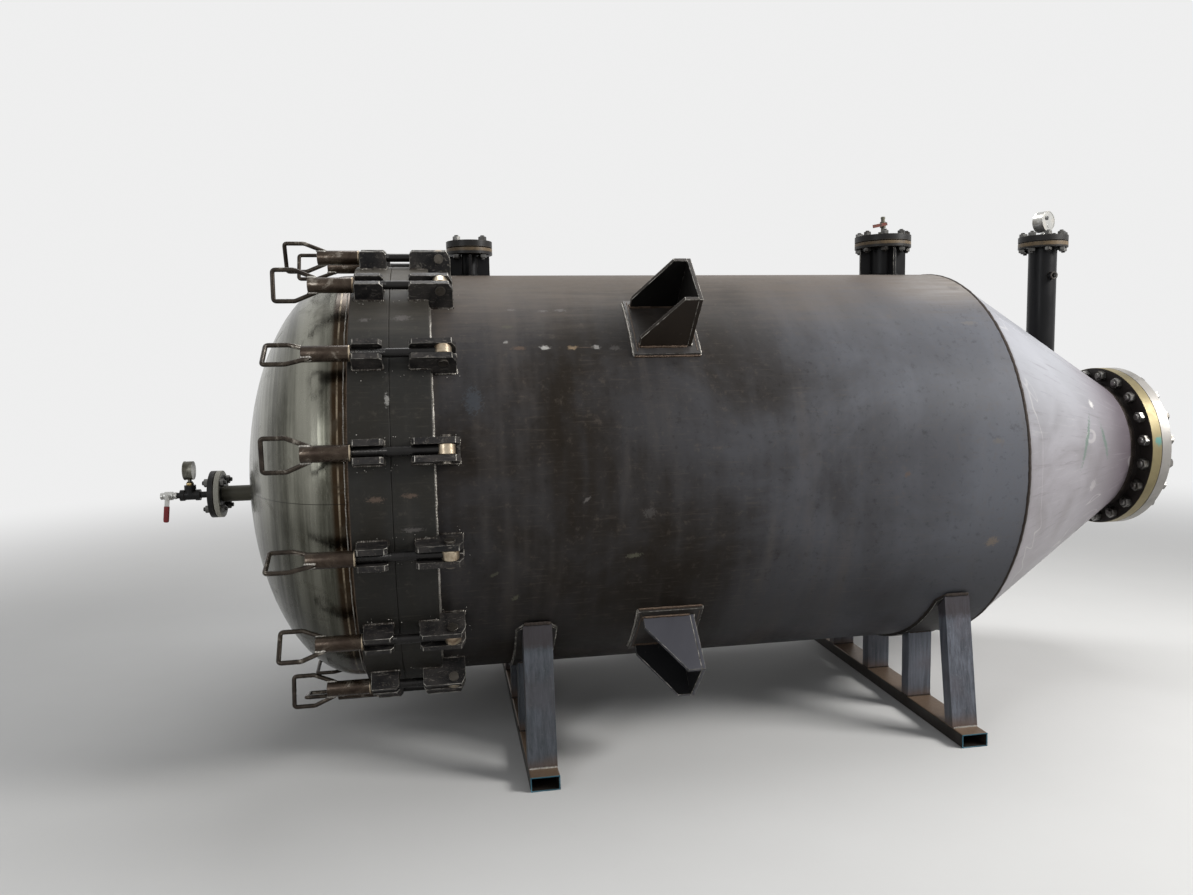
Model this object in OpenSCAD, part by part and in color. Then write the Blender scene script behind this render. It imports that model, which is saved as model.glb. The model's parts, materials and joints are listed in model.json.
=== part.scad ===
// Horizontal pressure tank with a quick-opening head and a conical outlet end.
// The head is held by a ring of swing bolts, the outlet and the nozzles are
// closed with blind flanges, and the tank lies on two welded cradles.
// X runs along the tank from the head to the outlet, Z is up. The origin lies
// on the floor, midway along the whole length and on the tank's centre line.

/* [Tank] */
// Outside diameter of the shell
shell_od = 1524; // [1200:4:1800]
// Plate thickness of the shell, the cone and the head
plate_t = 12; // [8:1:20]
// Length of the cylinder, from the body ring to the cone
shell_len = 2072; // [1600:4:2600]
// Half angle of the cone
cone_half_angle = 30; // [25:1:35]
// Height of the tank's centre line above the floor
axis_height = 995; // [960:5:1400]

/* [Closure rings] */
// Width of the ring that is welded to the shell
body_ring_w = 130; // [100:2:180]
// Width of the ring that is welded to the head
cover_ring_w = 128; // [100:2:180]
// Height of both rings above the shell
ring_rise = 32; // [18:1:36]
// Height of the tongue on the cover ring that enters the body ring's groove
tongue_h = 8; // [5:1:12]
// Distance from the bore of the rings to the tongue
tongue_inset = 14; // [11:1:18]
// Radial thickness of the tongue
tongue_t = 14; // [10:1:20]
// Straight edge of the head beside the cover ring
head_straight = 28; // [20:2:60]
// Depth of the head's curve for one unit of its inside radius
head_depth_ratio = 0.5; // [0.4:0.05:0.6]

/* [Swing bolts] */
// Number of swing bolts round the closure
clamp_count = 16; // [16:1:20]
// Height of the middle of each bolt above the shell
bolt_rise = 69; // [66:1:88]
// Diameter of the bolt's rod
rod_d = 30; // [24:1:33]
// Diameter of the cross pin that the bolt turns on
pin_d = 25; // [20:1:28]
// Outside diameter of the eye at the end of the rod
eye_d = 56; // [50:1:62]
// Thickness of each lug plate
lug_t = 20; // [14:1:24]
// Clear width between the two plates of a lug
lug_gap = 35; // [34:1:40]
// Height of the lug plates above the middle of the bolt
lug_rise = 26; // [20:1:30]
// Length of the lug on the cover ring
cover_lug_len = 94; // [80:2:110]
// Distance from the cover ring's outer edge to its lug
cover_lug_inset = 16; // [8:1:24]
// Reach of the body lug from the weld toward the head
body_lug_front = 65; // [50:1:80]
// Reach of the body lug from the weld along the shell
body_lug_back = 82; // [74:1:100]
// Distance from the weld to the cross pin
pin_x = 40; // [36:1:44]
// Outside diameter of the tubular nut
nut_d = 52; // [46:1:56]
// Length of the tubular nut
nut_len = 148; // [120:2:170]
// Diameter of the bar that the handle is bent from
handle_bar_d = 15; // [12:1:18]
// Overall width of the handle
handle_w = 118; // [100:2:130]
// Overall reach of the handle beyond the nut
handle_reach = 118; // [100:2:140]
// Length of the handle's flared part beyond the nut
handle_flare = 42; // [20:2:60]
// Bend radius of the handle's corners
handle_bend_r = 11; // [9:1:20]

/* [Outlet] */
// Outside diameter of the outlet flange and its blind
outlet_od = 698.5; // [680:0.5:720]
// Thickness of the outlet flange and of its blind
outlet_t = 42.9; // [36:0.1:50]
// Distance from the outlet's bolt circle to the flange's edge
outlet_edge = 31.75; // [26:0.25:36]
// Number of bolts in the outlet
outlet_bolts = 20; // [16:4:24]
// Diameter of the outlet's bolt holes
outlet_hole_d = 31.8; // [28:0.1:34]
// Distance from the outlet's bolt circle in to the flange's hub
hub_clear = 38; // [32:0.5:42]
// Wall thickness of the outlet flange's hub
hub_wall = 35.5; // [30:0.5:44]
// Length of the hub behind the flange
outlet_hub_len = 30; // [20:1:40]
// Thickness of the outlet's gasket
gasket_t = 3; // [2:0.5:5]
// Clear width between the outlet's gasket and the bolt holes
gasket_clear = 1.6; // [1:0.1:6]

/* [Nozzles] */
// Place of the front top nozzle, from the weld
front_x = 161; // [150:1:200]
// Distance from the rear top nozzle to the start of the cone
rear_inset = 172; // [130:1:270]
// Distance from the start of the cone to its nozzle
cone_nozzle_reach = 585; // [568:1:608]
// Height of the front nozzle's joint above the shell
front_rise = 106; // [90:1:138]
// Height of the rear nozzle's joint above the shell
rear_rise = 136; // [108:1:158]
// Height of the cone nozzle's joint above the top of the shell
cone_nozzle_rise = 140; // [118:1:158]
// Drop of the head nozzle below the tank's centre line
head_nozzle_drop = 55; // [0:1:80]
// Reach of the head nozzle's joint beyond the head
head_nozzle_reach = 145.5; // [120:0.5:186]
// Diameter of the pipes of the head nozzle and the front nozzle
small_pipe_d = 60.3; // [55:0.1:70]
// Diameter of the flanges of the head nozzle and the front nozzle
small_flange_od = 178; // [170:2:190]
// Distance from the bolt circle to the edge of those flanges
small_flange_edge = 19.15; // [16.5:0.05:24]
// Diameter of the pipes of the rear nozzle and the cone nozzle
large_pipe_d = 114.3; // [105:0.1:118]
// Diameter of the rear nozzle's flange
rear_flange_od = 229; // [220:1:240]
// Distance from the rear nozzle's bolt circle to its flange's edge
rear_flange_edge = 19.25; // [17:0.05:24]
// Diameter of the cone nozzle's flange
cone_flange_od = 200; // [196:1:230]
// Distance from the cone nozzle's bolt circle to its flange's edge
cone_flange_edge = 17.5; // [15:0.5:19]
// Diameter of the bolt holes in the nozzle flanges
nozzle_hole_d = 19; // [16:1:20]
// Thickness of the flanges and blinds on top of the tank
top_flange_t = 24; // [18:1:28]
// Thickness of the flange and the blind on the head nozzle
head_flange_t = 19; // [15:1:24]
// Wall thickness of the nozzle pipes
pipe_wall = 7; // [5:0.5:10]
// Thickness of the gusset plates on the two top nozzles
nozzle_gusset_t = 10; // [6:1:14]

/* [Fittings] */
// Distance from the cone nozzle's joint down to its side coupling
coupling_drop = 148; // [120:1:180]
// Outside diameter of the side coupling
coupling_d = 34; // [30:1:40]
// Bore of the side coupling
coupling_bore = 21; // [16:1:25]
// Reach of the side coupling from the middle of its pipe
coupling_reach = 80; // [74:1:100]
// Diameter of the vent valve's stem
vent_d = 16; // [14:1:20]
// Height of the vent valve above its blind
vent_h = 82; // [76:1:100]
// Height of the vent lever's pin above the blind
vent_pin_h = 50; // [42:1:60]
// Length of the lever on the vent valve
vent_lever_len = 58; // [40:1:70]
// Droop of the vent lever at rest
vent_droop = 11; // [0:1:20]
// Diameter of the gauge on the cone nozzle
top_gauge_d = 88; // [80:1:96]
// Depth of the gauge on the cone nozzle
top_gauge_t = 46; // [36:1:52]
// Height of the middle of that gauge above its blind
top_gauge_h = 64; // [60:1:80]
// Diameter of the gauge on the test tee
test_gauge_d = 70; // [60:1:80]
// Depth of the gauge on the test tee
test_gauge_t = 32; // [24:1:40]
// Height of the middle of that gauge above the tee
test_gauge_h = 94; // [92:1:110]
// Diameter of the pipe between the head nozzle and the tee
nipple_d = 24; // [20:1:30]
// Length of that pipe outside the blind
nipple_len = 42; // [36:1:60]
// Diameter of the tee's bands
tee_d = 42; // [36:1:48]
// Length of the tee
tee_len = 72; // [60:1:84]
// Length of the test valve
valve_len = 58; // [50:1:70]
// Diameter of the test valve's body
valve_d = 32; // [28:1:36]
// Length of the lever on the test valve
test_lever_len = 94; // [70:1:110]
// Lean of the test lever at rest
test_lean = 6; // [0:1:12]

/* [Support brackets] */
// Place of the bracket's base plate, from the weld
bracket_x = 864; // [840:1:940]
// Distance from the base plate's inner face to the far edge of its pad
pad_len = 188; // [180:2:240]
// Reach of the pad beyond the base plate
pad_beyond = 30; // [16:1:40]
// Width of the pad round the shell
pad_w = 268; // [250:2:320]
// Thickness of the pads
pad_t = 12; // [8:1:16]
// Thickness of the bracket's gussets and base plate
bracket_t = 14; // [10:1:20]
// Distance from the shell to the outer edge of the bracket
bracket_reach = 213; // [190:1:230]
// Clear width between the bracket's gussets
bracket_gap = 182; // [160:2:200]
// Height of the gusset's low end
gusset_low = 44; // [30:2:60]
// Length of the gusset's top edge
gusset_top = 46; // [30:2:70]
// Length of the gusset along the shell
gusset_len = 168; // [150:2:176]

/* [Cradles] */
// Place of the cradle near the head, from the weld
cradle_front_x = 326; // [300:2:360]
// Distance from the cradle near the cone to the start of the cone
cradle_rear_inset = 182; // [172:2:270]
// Width of the hollow section, along the tank
section_w = 100; // [80:5:120]
// Height of the hollow section
section_h = 50; // [40:5:60]
// Wall of the hollow section
section_wall = 4; // [3:0.5:6]
// Distance from the side of the shell in to the end of each base beam
beam_inset = 12; // [0:1:37]
// Distance from the middle to the outer posts
post_y = 341; // [320:1:360]
// Width of the wear strips, along the tank
strip_w = 136; // [120:2:160]
// Thickness of the wear strips
strip_t = 10; // [6:1:14]
// Size of the strips' cut corners
strip_chamfer = 24; // [10:1:40]
// Half angle that a wear strip covers, from the bottom
strip_half_angle = 52; // [50:1:56]
// Distance from the side of the shell in to the foot of each slanted leg
leg_foot_inset = 100; // [82:1:112]

/* [Fits] */
// Seat clearance between pieces of different bodies
seat_gap = 0.3; // [0.2:0.1:0.5]
// Radial play of a pin in its eye
pin_play = 0.25; // [0.2:0.05:0.4]
// Side play of the eye between its lug plates
eye_play = 1; // [0.5:0.5:2]
// Radial play between the rod and its nut
thread_play = 0.3; // [0.2:0.1:0.6]
// Radial play of the tongue in its groove
groove_play = 1; // [0.5:0.5:2]
// Slack between the nut and the cover lug
nut_slack = 2; // [1.8:0.1:3]
// Face gap between the two closure rings
ring_gap = 0.5; // [0.3:0.1:1]

/* [Hidden] */
clamp_names = [for (i = [1:clamp_count]) str("swing_bolt_", i < 10 ? "0" : "", i)];
$fn = 96;
steel = [0.26, 0.24, 0.23];
dark = [0.14, 0.14, 0.14];
bright = [0.62, 0.61, 0.58];
rust = [0.36, 0.24, 0.18];
blue_grey = [0.24, 0.27, 0.30];
pale_steel = [0.34, 0.32, 0.33];
tan_fibre = [0.6, 0.5, 0.3];
red = [0.5, 0.1, 0.1];
shell_r = shell_od / 2;
bore_r = shell_r - plate_t;
ring_r = shell_r + ring_rise;
bolt_circle_r = shell_r + bolt_rise;
ring_joint_x = -body_ring_w;
cover_back_x = ring_joint_x - ring_gap - cover_ring_w;
head_x = cover_back_x - head_straight;
tongue_in = bore_r + tongue_inset;
tongue_out = tongue_in + tongue_t;
head_depth = bore_r * head_depth_ratio;
head_apex_x = head_x - head_depth - plate_t;
cone_slope = tan(cone_half_angle);
cone_plate_r = plate_t / cos(cone_half_angle);
outlet_pcd = outlet_od - 2 * outlet_edge;
outlet_hub_d = outlet_pcd - 2 * hub_clear;
outlet_bore = outlet_hub_d - 2 * hub_wall;
gasket_od = outlet_pcd - outlet_hole_d - 2 * gasket_clear;
small_flange_pcd = small_flange_od - 2 * small_flange_edge;
rear_flange_pcd = rear_flange_od - 2 * rear_flange_edge;
cone_flange_pcd = cone_flange_od - 2 * cone_flange_edge;
hub_r = outlet_hub_d / 2;
cone_end_x = shell_len + (shell_r - hub_r) / cone_slope;
rear_x = shell_len - rear_inset;
cone_nozzle_x = shell_len + cone_nozzle_reach;
front_top = shell_r + front_rise;
rear_top = shell_r + rear_rise;
cone_nozzle_top = shell_r + cone_nozzle_rise;
outlet_back_x = cone_end_x + outlet_hub_len;
outlet_face_x = outlet_back_x + outlet_t;
blind_face_x = outlet_face_x + gasket_t;
tank_end_x = blind_face_x + outlet_t;
bolt_head_x = cover_back_x + cover_lug_inset;
lug_top_r = bolt_circle_r + lug_rise;
nut_face_x = bolt_head_x - nut_slack;
nut_end_x = nut_face_x - nut_len;
handle_end_x = nut_end_x - handle_reach;
bar_r = handle_bar_d / 2;
clamp_step = 360 / clamp_count;
// Turn of each handle about its bolt, from the top down one side
handle_turns = [80, -54, 21, -14, 77, 73, 68, 0];
head_joint_x = head_apex_x - head_nozzle_reach;
tee_x = head_joint_x - gasket_t / 2 - head_flange_t - nipple_len - tee_len / 2;
union_len = 12;
union_d = 22;
valve_x = tee_x - tee_len / 2 - union_len - valve_len / 2;
tank_start_x = valve_x - valve_len / 2;
origin_x = (tank_start_x + tank_end_x) / 2;
strip_r = shell_r + seat_gap;
vent_base_z = rear_top + gasket_t / 2 + top_flange_t;
beam_top = section_h - axis_height;
beam_len = shell_od - 2 * beam_inset;
cradle_rear_x = shell_len - cradle_rear_inset;
leg_foot_y = shell_r - leg_foot_inset;
bracket_sink = 20;
head_steps = 28;
// Distance from the middle of each valve to its lever
vent_stem = 15;
test_stem = valve_d / 2;
// Height of the tee's branch and of the hexagon bush on it
tee_top = 38;
bush_h = 14;
gauge_stem_d = 14;
// Overshoot of cutting shapes, so that no thin skin is left
cut = 1;

// Puts a shape that is drawn about the tank's centre line into the part's frame
module place() {
    translate([-origin_x, 0, axis_height]) children();
}
// Turns a profile of (radius, x) points about the tank's centre line
module turned(profile) {
    rotate([0, 90, 0]) rotate_extrude($fn = 180) polygon(profile);
}
// A solid round bar along X from x0 to x1
module bar_x(x0, x1, d) {
    translate([x0, 0, 0]) rotate([0, 90, 0]) cylinder(h = x1 - x0, d = d);
}
// Repeats a shape drawn at the top of the tank at every clamp
module at_clamps() {
    for (i = [0:clamp_count - 1]) at_clamp(i) children();
}
module at_clamp(i) {
    rotate([(i + 0.5) * clamp_step, 0, 0]) children();
}
// Holes through a plate that lies across Z
module hole_circle(count, pcd, d, z0, z1) {
    for (i = [0:count - 1])
        rotate([0, 0, (i + 0.5) * 360 / count]) translate([pcd / 2, 0, z0])
            cylinder(h = z1 - z0, d = d, $fn = 32);
}

// Top nozzles: x, joint height, pipe d, flange d, bolt circle, holes
function top_nozzles() = [
    [front_x, front_top, small_pipe_d, small_flange_od, small_flange_pcd, 4],
    [rear_x, rear_top, large_pipe_d, rear_flange_od, rear_flange_pcd, 8],
    [cone_nozzle_x, cone_nozzle_top, large_pipe_d, cone_flange_od, cone_flange_pcd, 8]
];
// The head nozzle's row has the same order, its place is head_frame()
function head_nozzle() = [0, 0, small_pipe_d, small_flange_od, small_flange_pcd, 4];
// Outside radius of the tank at the place x
function wall_top(x) = x < shell_len ? shell_r : shell_r - (x - shell_len) * cone_slope;

// Round cutters for the pipes of the top nozzles
module nozzle_holes() {
    for (n = top_nozzles())
        translate([n[0], 0, 0]) cylinder(h = n[1] - top_flange_t, d = n[2]);
}

module shell() {
    color(steel) place() difference() {
        turned([[bore_r, 0], [shell_r, 0], [shell_r, shell_len], [bore_r, shell_len]]);
        nozzle_holes();
    }
}

module cone() {
    inner = cone_plate_r;
    color(pale_steel) place() difference() {
        turned([
            [shell_r - inner, shell_len], [shell_r, shell_len],
            [hub_r, cone_end_x], [hub_r - inner, cone_end_x]
        ]);
        nozzle_holes();
    }
}

module body_ring() {
    groove_in = tongue_in - groove_play;
    groove_out = tongue_out + groove_play;
    groove_x = ring_joint_x + tongue_h + groove_play;
    color(steel) place() turned([
        [bore_r, 0], [ring_r, 0], [ring_r, ring_joint_x],
        [groove_out, ring_joint_x], [groove_out, groove_x], [groove_in, groove_x],
        [groove_in, ring_joint_x], [bore_r, ring_joint_x]
    ]);
}

module cover_ring() {
    face_x = ring_joint_x - ring_gap;
    color(steel) place() turned([
        [bore_r, face_x], [tongue_in, face_x], [tongue_in, face_x + tongue_h],
        [tongue_out, face_x + tongue_h], [tongue_out, face_x],
        [ring_r, face_x], [ring_r, cover_back_x], [bore_r, cover_back_x]
    ]);
}

// Half of an ellipsoid of the given inside radius, as profile points
function head_curve(r, depth) = [
    for (i = [0:head_steps]) [r * cos(90 * i / head_steps), head_x - depth * sin(90 * i / head_steps)]
];

module cover_dish() {
    outer = head_curve(shell_r, head_depth + plate_t);
    inner = head_curve(bore_r, head_depth);
    color(bright) place() difference() {
        turned(concat(
            [[bore_r, cover_back_x], [shell_r, cover_back_x]], outer,
            [for (i = [head_steps:-1:0]) inner[i]]
        ));
        translate([head_joint_x, 0, -head_nozzle_drop]) bar_x(0, head_depth, small_pipe_d);
    }
}

// The two plates of a lug, from a side outline of (x, radius) points
module lug_plates(outline) {
    for (side = [-1, 1])
        translate([0, side * (lug_gap + lug_t) / 2 + lug_t / 2, 0]) rotate([90, 0, 0])
            linear_extrude(height = lug_t) polygon(outline);
}

// How far a flat plate must reach in to touch the round wall along its outer edge
function seat_radius(r) = sqrt(r * r - pow(lug_gap / 2 + lug_t, 2));

module cover_lugs() {
    x0 = bolt_head_x;
    x1 = bolt_head_x + cover_lug_len;
    foot = seat_radius(ring_r);
    front_cut = 10;
    back_cut = 4;
    color(steel) place() difference() {
        at_clamps() lug_plates([
            [x0, foot], [x1, foot], [x1, lug_top_r - front_cut], [x1 - front_cut, lug_top_r],
            [x0 + back_cut, lug_top_r], [x0, lug_top_r - back_cut]
        ]);
        bar_x(cover_back_x - cut, ring_joint_x, 2 * ring_r);
    }
}

module body_lugs() {
    x0 = -body_lug_front;
    x1 = body_lug_back;
    ring_foot = seat_radius(ring_r);
    shell_foot = seat_radius(shell_r);
    front_cut = 10;
    front_slope = 8;
    pin_land = 28;
    stop_t = 12;
    stop_h = 34;
    color(steel) place() difference() {
        at_clamps() union() {
            lug_plates([
                [x0, ring_foot], [0, ring_foot], [0, shell_foot], [x1, shell_foot],
                [x1, bolt_circle_r], [pin_x + pin_land, lug_top_r], [x0 + front_slope, lug_top_r],
                [x0, lug_top_r - front_cut]
            ]);
            translate([x1 - stop_t, -lug_gap / 2 - cut, shell_foot]) cube([stop_t, lug_gap + 2 * cut, stop_h]);
        }
        bar_x(ring_joint_x, 0, 2 * ring_r);
        bar_x(-cut, x1 + cut, shell_od);
        at_clamps() translate([pin_x, 0, bolt_circle_r]) rotate([90, 0, 0])
            cylinder(h = lug_gap + 2 * lug_t + 2 * cut, d = pin_d, center = true, $fn = 48);
    }
}

module hinge_pins() {
    head_t = 8;
    head_rim = 4.5;
    length = lug_gap + 2 * lug_t + 2 * head_t;
    color(bright) place() at_clamps() translate([pin_x, 0, bolt_circle_r]) rotate([90, 0, 0]) union() {
        cylinder(h = length, d = pin_d, center = true, $fn = 48);
        for (side = [-1, 1])
            translate([0, 0, side * (length - head_t) / 2])
                cylinder(h = head_t, d = pin_d + 2 * head_rim, center = true, $fn = 48);
    }
}

// Both sides of the tank have the same turns, mirrored
function handle_turn(i) =
    i < clamp_count / 2 ? handle_turns[i % len(handle_turns)] : -handle_turn(clamp_count - 1 - i);

// Rod with its eye, and the tubular nut with its bent bar handle
module swing_bolt(i) {
    cap_t = 10;
    rod_end_x = nut_end_x + cap_t + 6;
    color(steel) place() at_clamp(i) translate([0, 0, bolt_circle_r]) {
        difference() {
            union() {
                bar_x(rod_end_x, pin_x, rod_d);
                translate([pin_x, 0, 0]) rotate([90, 0, 0])
                    cylinder(h = lug_gap - 2 * eye_play, d = eye_d, center = true);
            }
            translate([pin_x, 0, 0]) rotate([90, 0, 0])
                cylinder(h = lug_gap, d = pin_d + 2 * pin_play, center = true, $fn = 48);
        }
        difference() {
            union() {
                bar_x(nut_end_x, nut_face_x, nut_d);
                rotate([-handle_turn(i), 0, 0]) handle();
            }
            bar_x(nut_end_x + cap_t, nut_face_x + cut, rod_d + 2 * thread_play);
        }
    }
}

// Handle bent from round bar: two flared legs beside the nut, two bends and a cross bar
module handle() {
    root_sink = 2;
    root_len = 24;
    leg_y = handle_w / 2 - bar_r;
    corner_x = handle_end_x + bar_r + handle_bend_r;
    knee_x = nut_end_x - handle_flare;
    root_y = nut_d / 2 - root_sink;
    root_x = nut_end_x + root_len;
    spread = atan2(leg_y - root_y, root_x - knee_x);
    for (side = [-1, 1]) mirror([0, side < 0 ? 1 : 0, 0]) {
        translate([knee_x, leg_y, 0]) rotate([0, 0, -spread])
            bar_x(0, norm([root_x - knee_x, leg_y - root_y]), handle_bar_d);
        translate([knee_x, leg_y, 0]) sphere(r = bar_r, $fn = 32);
        translate([0, leg_y, 0]) bar_x(corner_x, knee_x, handle_bar_d);
        translate([corner_x, leg_y - handle_bend_r, 0]) rotate([0, 0, 90]) rotate_extrude(angle = 90)
            translate([handle_bend_r, 0]) circle(r = bar_r, $fn = 32);
    }
    translate([corner_x - handle_bend_r, 0, 0]) rotate([90, 0, 0])
        cylinder(h = 2 * (leg_y - handle_bend_r), d = handle_bar_d, center = true, $fn = 32);
}

module outlet_flange() {
    color(dark) place() rotate([0, 90, 0]) difference() {
        union() {
            translate([0, 0, outlet_back_x]) cylinder(h = outlet_t, d = outlet_od, $fn = 180);
            translate([0, 0, cone_end_x]) cylinder(h = outlet_hub_len + cut, d = outlet_hub_d, $fn = 180);
        }
        translate([0, 0, cone_end_x - cut]) cylinder(h = outlet_hub_len + outlet_t + 2 * cut, d = outlet_bore);
        hole_circle(outlet_bolts, outlet_pcd, outlet_hole_d, outlet_back_x - cut, outlet_face_x + cut);
    }
}

module outlet_gasket() {
    color(tan_fibre) place() turned([
        [outlet_bore / 2, outlet_face_x], [gasket_od / 2, outlet_face_x],
        [gasket_od / 2, blind_face_x], [outlet_bore / 2, blind_face_x]
    ]);
}

module outlet_blind() {
    color(dark) place() rotate([0, 90, 0]) difference() {
        translate([0, 0, blind_face_x]) cylinder(h = outlet_t, d = outlet_od, $fn = 180);
        hole_circle(outlet_bolts, outlet_pcd, outlet_hole_d, blind_face_x - cut, tank_end_x + cut);
    }
}

// Turns a shape drawn upright so that it points out of the head, at the head nozzle's joint
module head_frame() {
    translate([head_joint_x, 0, -head_nozzle_drop]) rotate([0, -90, 0]) children();
}

// Upright pipe of a nozzle's row, from the height inner_z to its joint
module nozzle_pipe(n, inner_z) {
    length = n[1] - gasket_t / 2 - inner_z;
    translate([n[0], 0, inner_z]) tube(length, n[2], n[2] - 2 * pipe_wall);
}
module tube(length, outside, inside) {
    difference() {
        cylinder(h = length, d = outside);
        translate([0, 0, -cut]) cylinder(h = length + 2 * cut, d = inside);
    }
}

module nozzle_pipes() {
    pipe_inside = 8;
    head_reach = head_nozzle_reach + plate_t + pipe_inside;
    color(dark) place() {
        for (n = top_nozzles())
            nozzle_pipe(n, n[0] < shell_len ? bore_r : wall_top(n[0]) - cone_plate_r - n[2] / 2 * cone_slope);
        head_frame() translate([0, 0, -head_reach])
            tube(head_reach - gasket_t / 2, small_pipe_d, small_pipe_d - 2 * pipe_wall);
        translate([cone_nozzle_x, 0, cone_nozzle_top - coupling_drop]) side_coupling();
    }
}

// Threaded coupling on the side of the cone nozzle's pipe
module side_coupling() {
    difference() {
        rotate([90, 0, 0]) tube(coupling_reach, coupling_d, coupling_bore);
        cylinder(h = 2 * coupling_d, d = large_pipe_d - cut, center = true);
    }
}

// Four upright plates round each of the two top nozzles
module nozzle_gussets() {
    gusset_inset = 12;
    gusset_drop = 4;
    for (k = [0, 1]) {
        n = top_nozzles()[k];
        reach = n[3] / 2 - gusset_inset;
        top = n[1] - top_flange_t - gasket_t / 2 - gusset_drop;
        inner = n[2] / 2 - cut;
        color(dark) place() difference() {
            translate([n[0], 0, 0]) for (a = [0, 90, 180, 270]) rotate([0, 0, a])
                translate([inner, -nozzle_gusset_t / 2, bore_r])
                    cube([reach - inner, nozzle_gusset_t, top - bore_r]);
            bar_x(0, shell_len, shell_od);
            translate([n[0], 0, 0]) cylinder(h = n[1], d = n[2]);
        }
    }
}

// Flange of a nozzle's row, t thick; a bore of 0 makes it a blind
module flange_disc(n, t, bore) {
    difference() {
        cylinder(h = t, d = n[3]);
        hole_circle(n[5], n[4], nozzle_hole_d, -cut, t + cut);
        if (bore > 0) translate([0, 0, -cut]) cylinder(h = t + 2 * cut, d = bore);
    }
}

module nozzle_flanges() {
    color(dark) place() {
        for (n = top_nozzles())
            translate([n[0], 0, n[1] - gasket_t / 2 - top_flange_t]) flange_disc(n, top_flange_t, n[2]);
        head_frame() translate([0, 0, -gasket_t / 2 - head_flange_t])
            flange_disc(head_nozzle(), head_flange_t, small_pipe_d);
    }
}

// A blind with its gasket on the side of its flange
module blind_disc(n, t) {
    rim = 3;
    flange_disc(n, t, 0);
    translate([0, 0, -gasket_t]) cylinder(h = gasket_t + cut, d = n[4] - nozzle_hole_d - 2 * rim);
}

module nozzle_blinds() {
    color(dark) place() {
        for (n = top_nozzles()) translate([n[0], 0, n[1] + gasket_t / 2]) blind_disc(n, top_flange_t);
        head_frame() translate([0, 0, gasket_t / 2]) blind_disc(head_nozzle(), head_flange_t);
    }
}

module vent_valve() {
    hexagon_d = 42;
    hexagon_h = 19;
    seat_d = 24;
    seat_h = 24;
    pivot_d = 10;
    color(bright) place() translate([rear_x, 0, vent_base_z]) union() {
        cylinder(h = hexagon_h, d = hexagon_d, $fn = 6);
        cylinder(h = vent_h, d = vent_d, $fn = 48);
        translate([0, 0, vent_pin_h - seat_h / 2]) cylinder(h = seat_h, d = seat_d, $fn = 48);
        translate([0, 0, vent_pin_h]) rotate([90, 0, 0]) cylinder(h = vent_stem, d = pivot_d, $fn = 32);
    }
}

// Flat lever on a round hub, along X to its end at -length
module lever(length, width, hub_d, hub_h, thick) {
    cylinder(h = hub_h, d = hub_d, $fn = 32);
    translate([-length, -width / 2, hub_h - thick]) cube([length + width / 2, width, thick]);
}

module vent_lever() {
    color(rust) place() translate([rear_x, -vent_stem - seat_gap, vent_base_z + vent_pin_h])
        rotate([90, -vent_droop, 0]) lever(vent_lever_len, width = 13, hub_d = 12, hub_h = 11, thick = 5);
}

// Round case that opens toward +Z for its dial
module gauge_case(d, t) {
    wall = 4;
    sink = 3;
    difference() {
        cylinder(h = t, d = d);
        translate([0, 0, t - sink]) cylinder(h = sink + cut, d = d - 2 * wall);
    }
}

module top_gauge() {
    hexagon_d = 26;
    hexagon_h = 14;
    stem_sink = 10;
    turn = 200;
    color(bright) place() translate([cone_nozzle_x, 0, cone_nozzle_top + gasket_t / 2 + top_flange_t]) union() {
        cylinder(h = hexagon_h, d = hexagon_d, $fn = 6);
        cylinder(h = top_gauge_h - top_gauge_d / 2 + stem_sink, d = gauge_stem_d, $fn = 48);
        translate([0, 0, top_gauge_h]) rotate([90, 0, turn]) translate([0, 0, -top_gauge_t / 2])
            gauge_case(top_gauge_d, top_gauge_t);
    }
}

module test_tee() {
    band_rise = 3;
    band_w = 16;
    run_d = tee_d - 2 * band_rise;
    blind_x = head_joint_x - gasket_t / 2 - head_flange_t;
    color(dark) place() translate([0, 0, -head_nozzle_drop]) union() {
        bar_x(tee_x, blind_x, nipple_d);
        bar_x(tee_x - tee_len / 2, tee_x + tee_len / 2, run_d);
        bar_x(tee_x - tee_len / 2, tee_x - tee_len / 2 + band_w, tee_d);
        bar_x(tee_x + tee_len / 2 - band_w, tee_x + tee_len / 2, tee_d);
        translate([tee_x, 0, 0]) cylinder(h = tee_top, d = run_d);
        translate([tee_x, 0, tee_top - band_w]) cylinder(h = band_w, d = tee_d);
        translate([tee_x, 0, 0]) cylinder(h = tee_top + bush_h, d = union_d, $fn = 6);
        bar_x(tee_x - tee_len / 2 - union_len, tee_x, union_d);
    }
}
module test_gauge() {
    foot = tee_top + bush_h;
    color(bright) place() translate([tee_x, 0, -head_nozzle_drop]) union() {
        translate([0, 0, foot]) cylinder(h = test_gauge_h - foot, d = gauge_stem_d, $fn = 48);
        translate([0, 0, test_gauge_h]) rotate([90, 0, -90]) translate([0, 0, -test_gauge_t / 2])
            gauge_case(test_gauge_d, test_gauge_t);
    }
}

module test_valve() {
    color(bright) place() translate([valve_x, 0, -head_nozzle_drop]) union() {
        bar_x(-valve_len / 2, valve_len / 2, union_d);
        bar_x(-valve_len / 4, valve_len / 4, valve_d);
    }
}

module test_lever() {
    color(red) place() translate([valve_x, -test_stem - seat_gap, -head_nozzle_drop])
        rotate([90, -90 + test_lean, 0]) lever(test_lever_len, width = 16, hub_d = 12, hub_h = 9, thick = 5);
}

// Repeats a shape drawn at the top of the shell at the four brackets
module at_brackets() {
    for (a = [45, 135, 225, 315]) rotate([a, 0, 0]) children();
}

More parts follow.
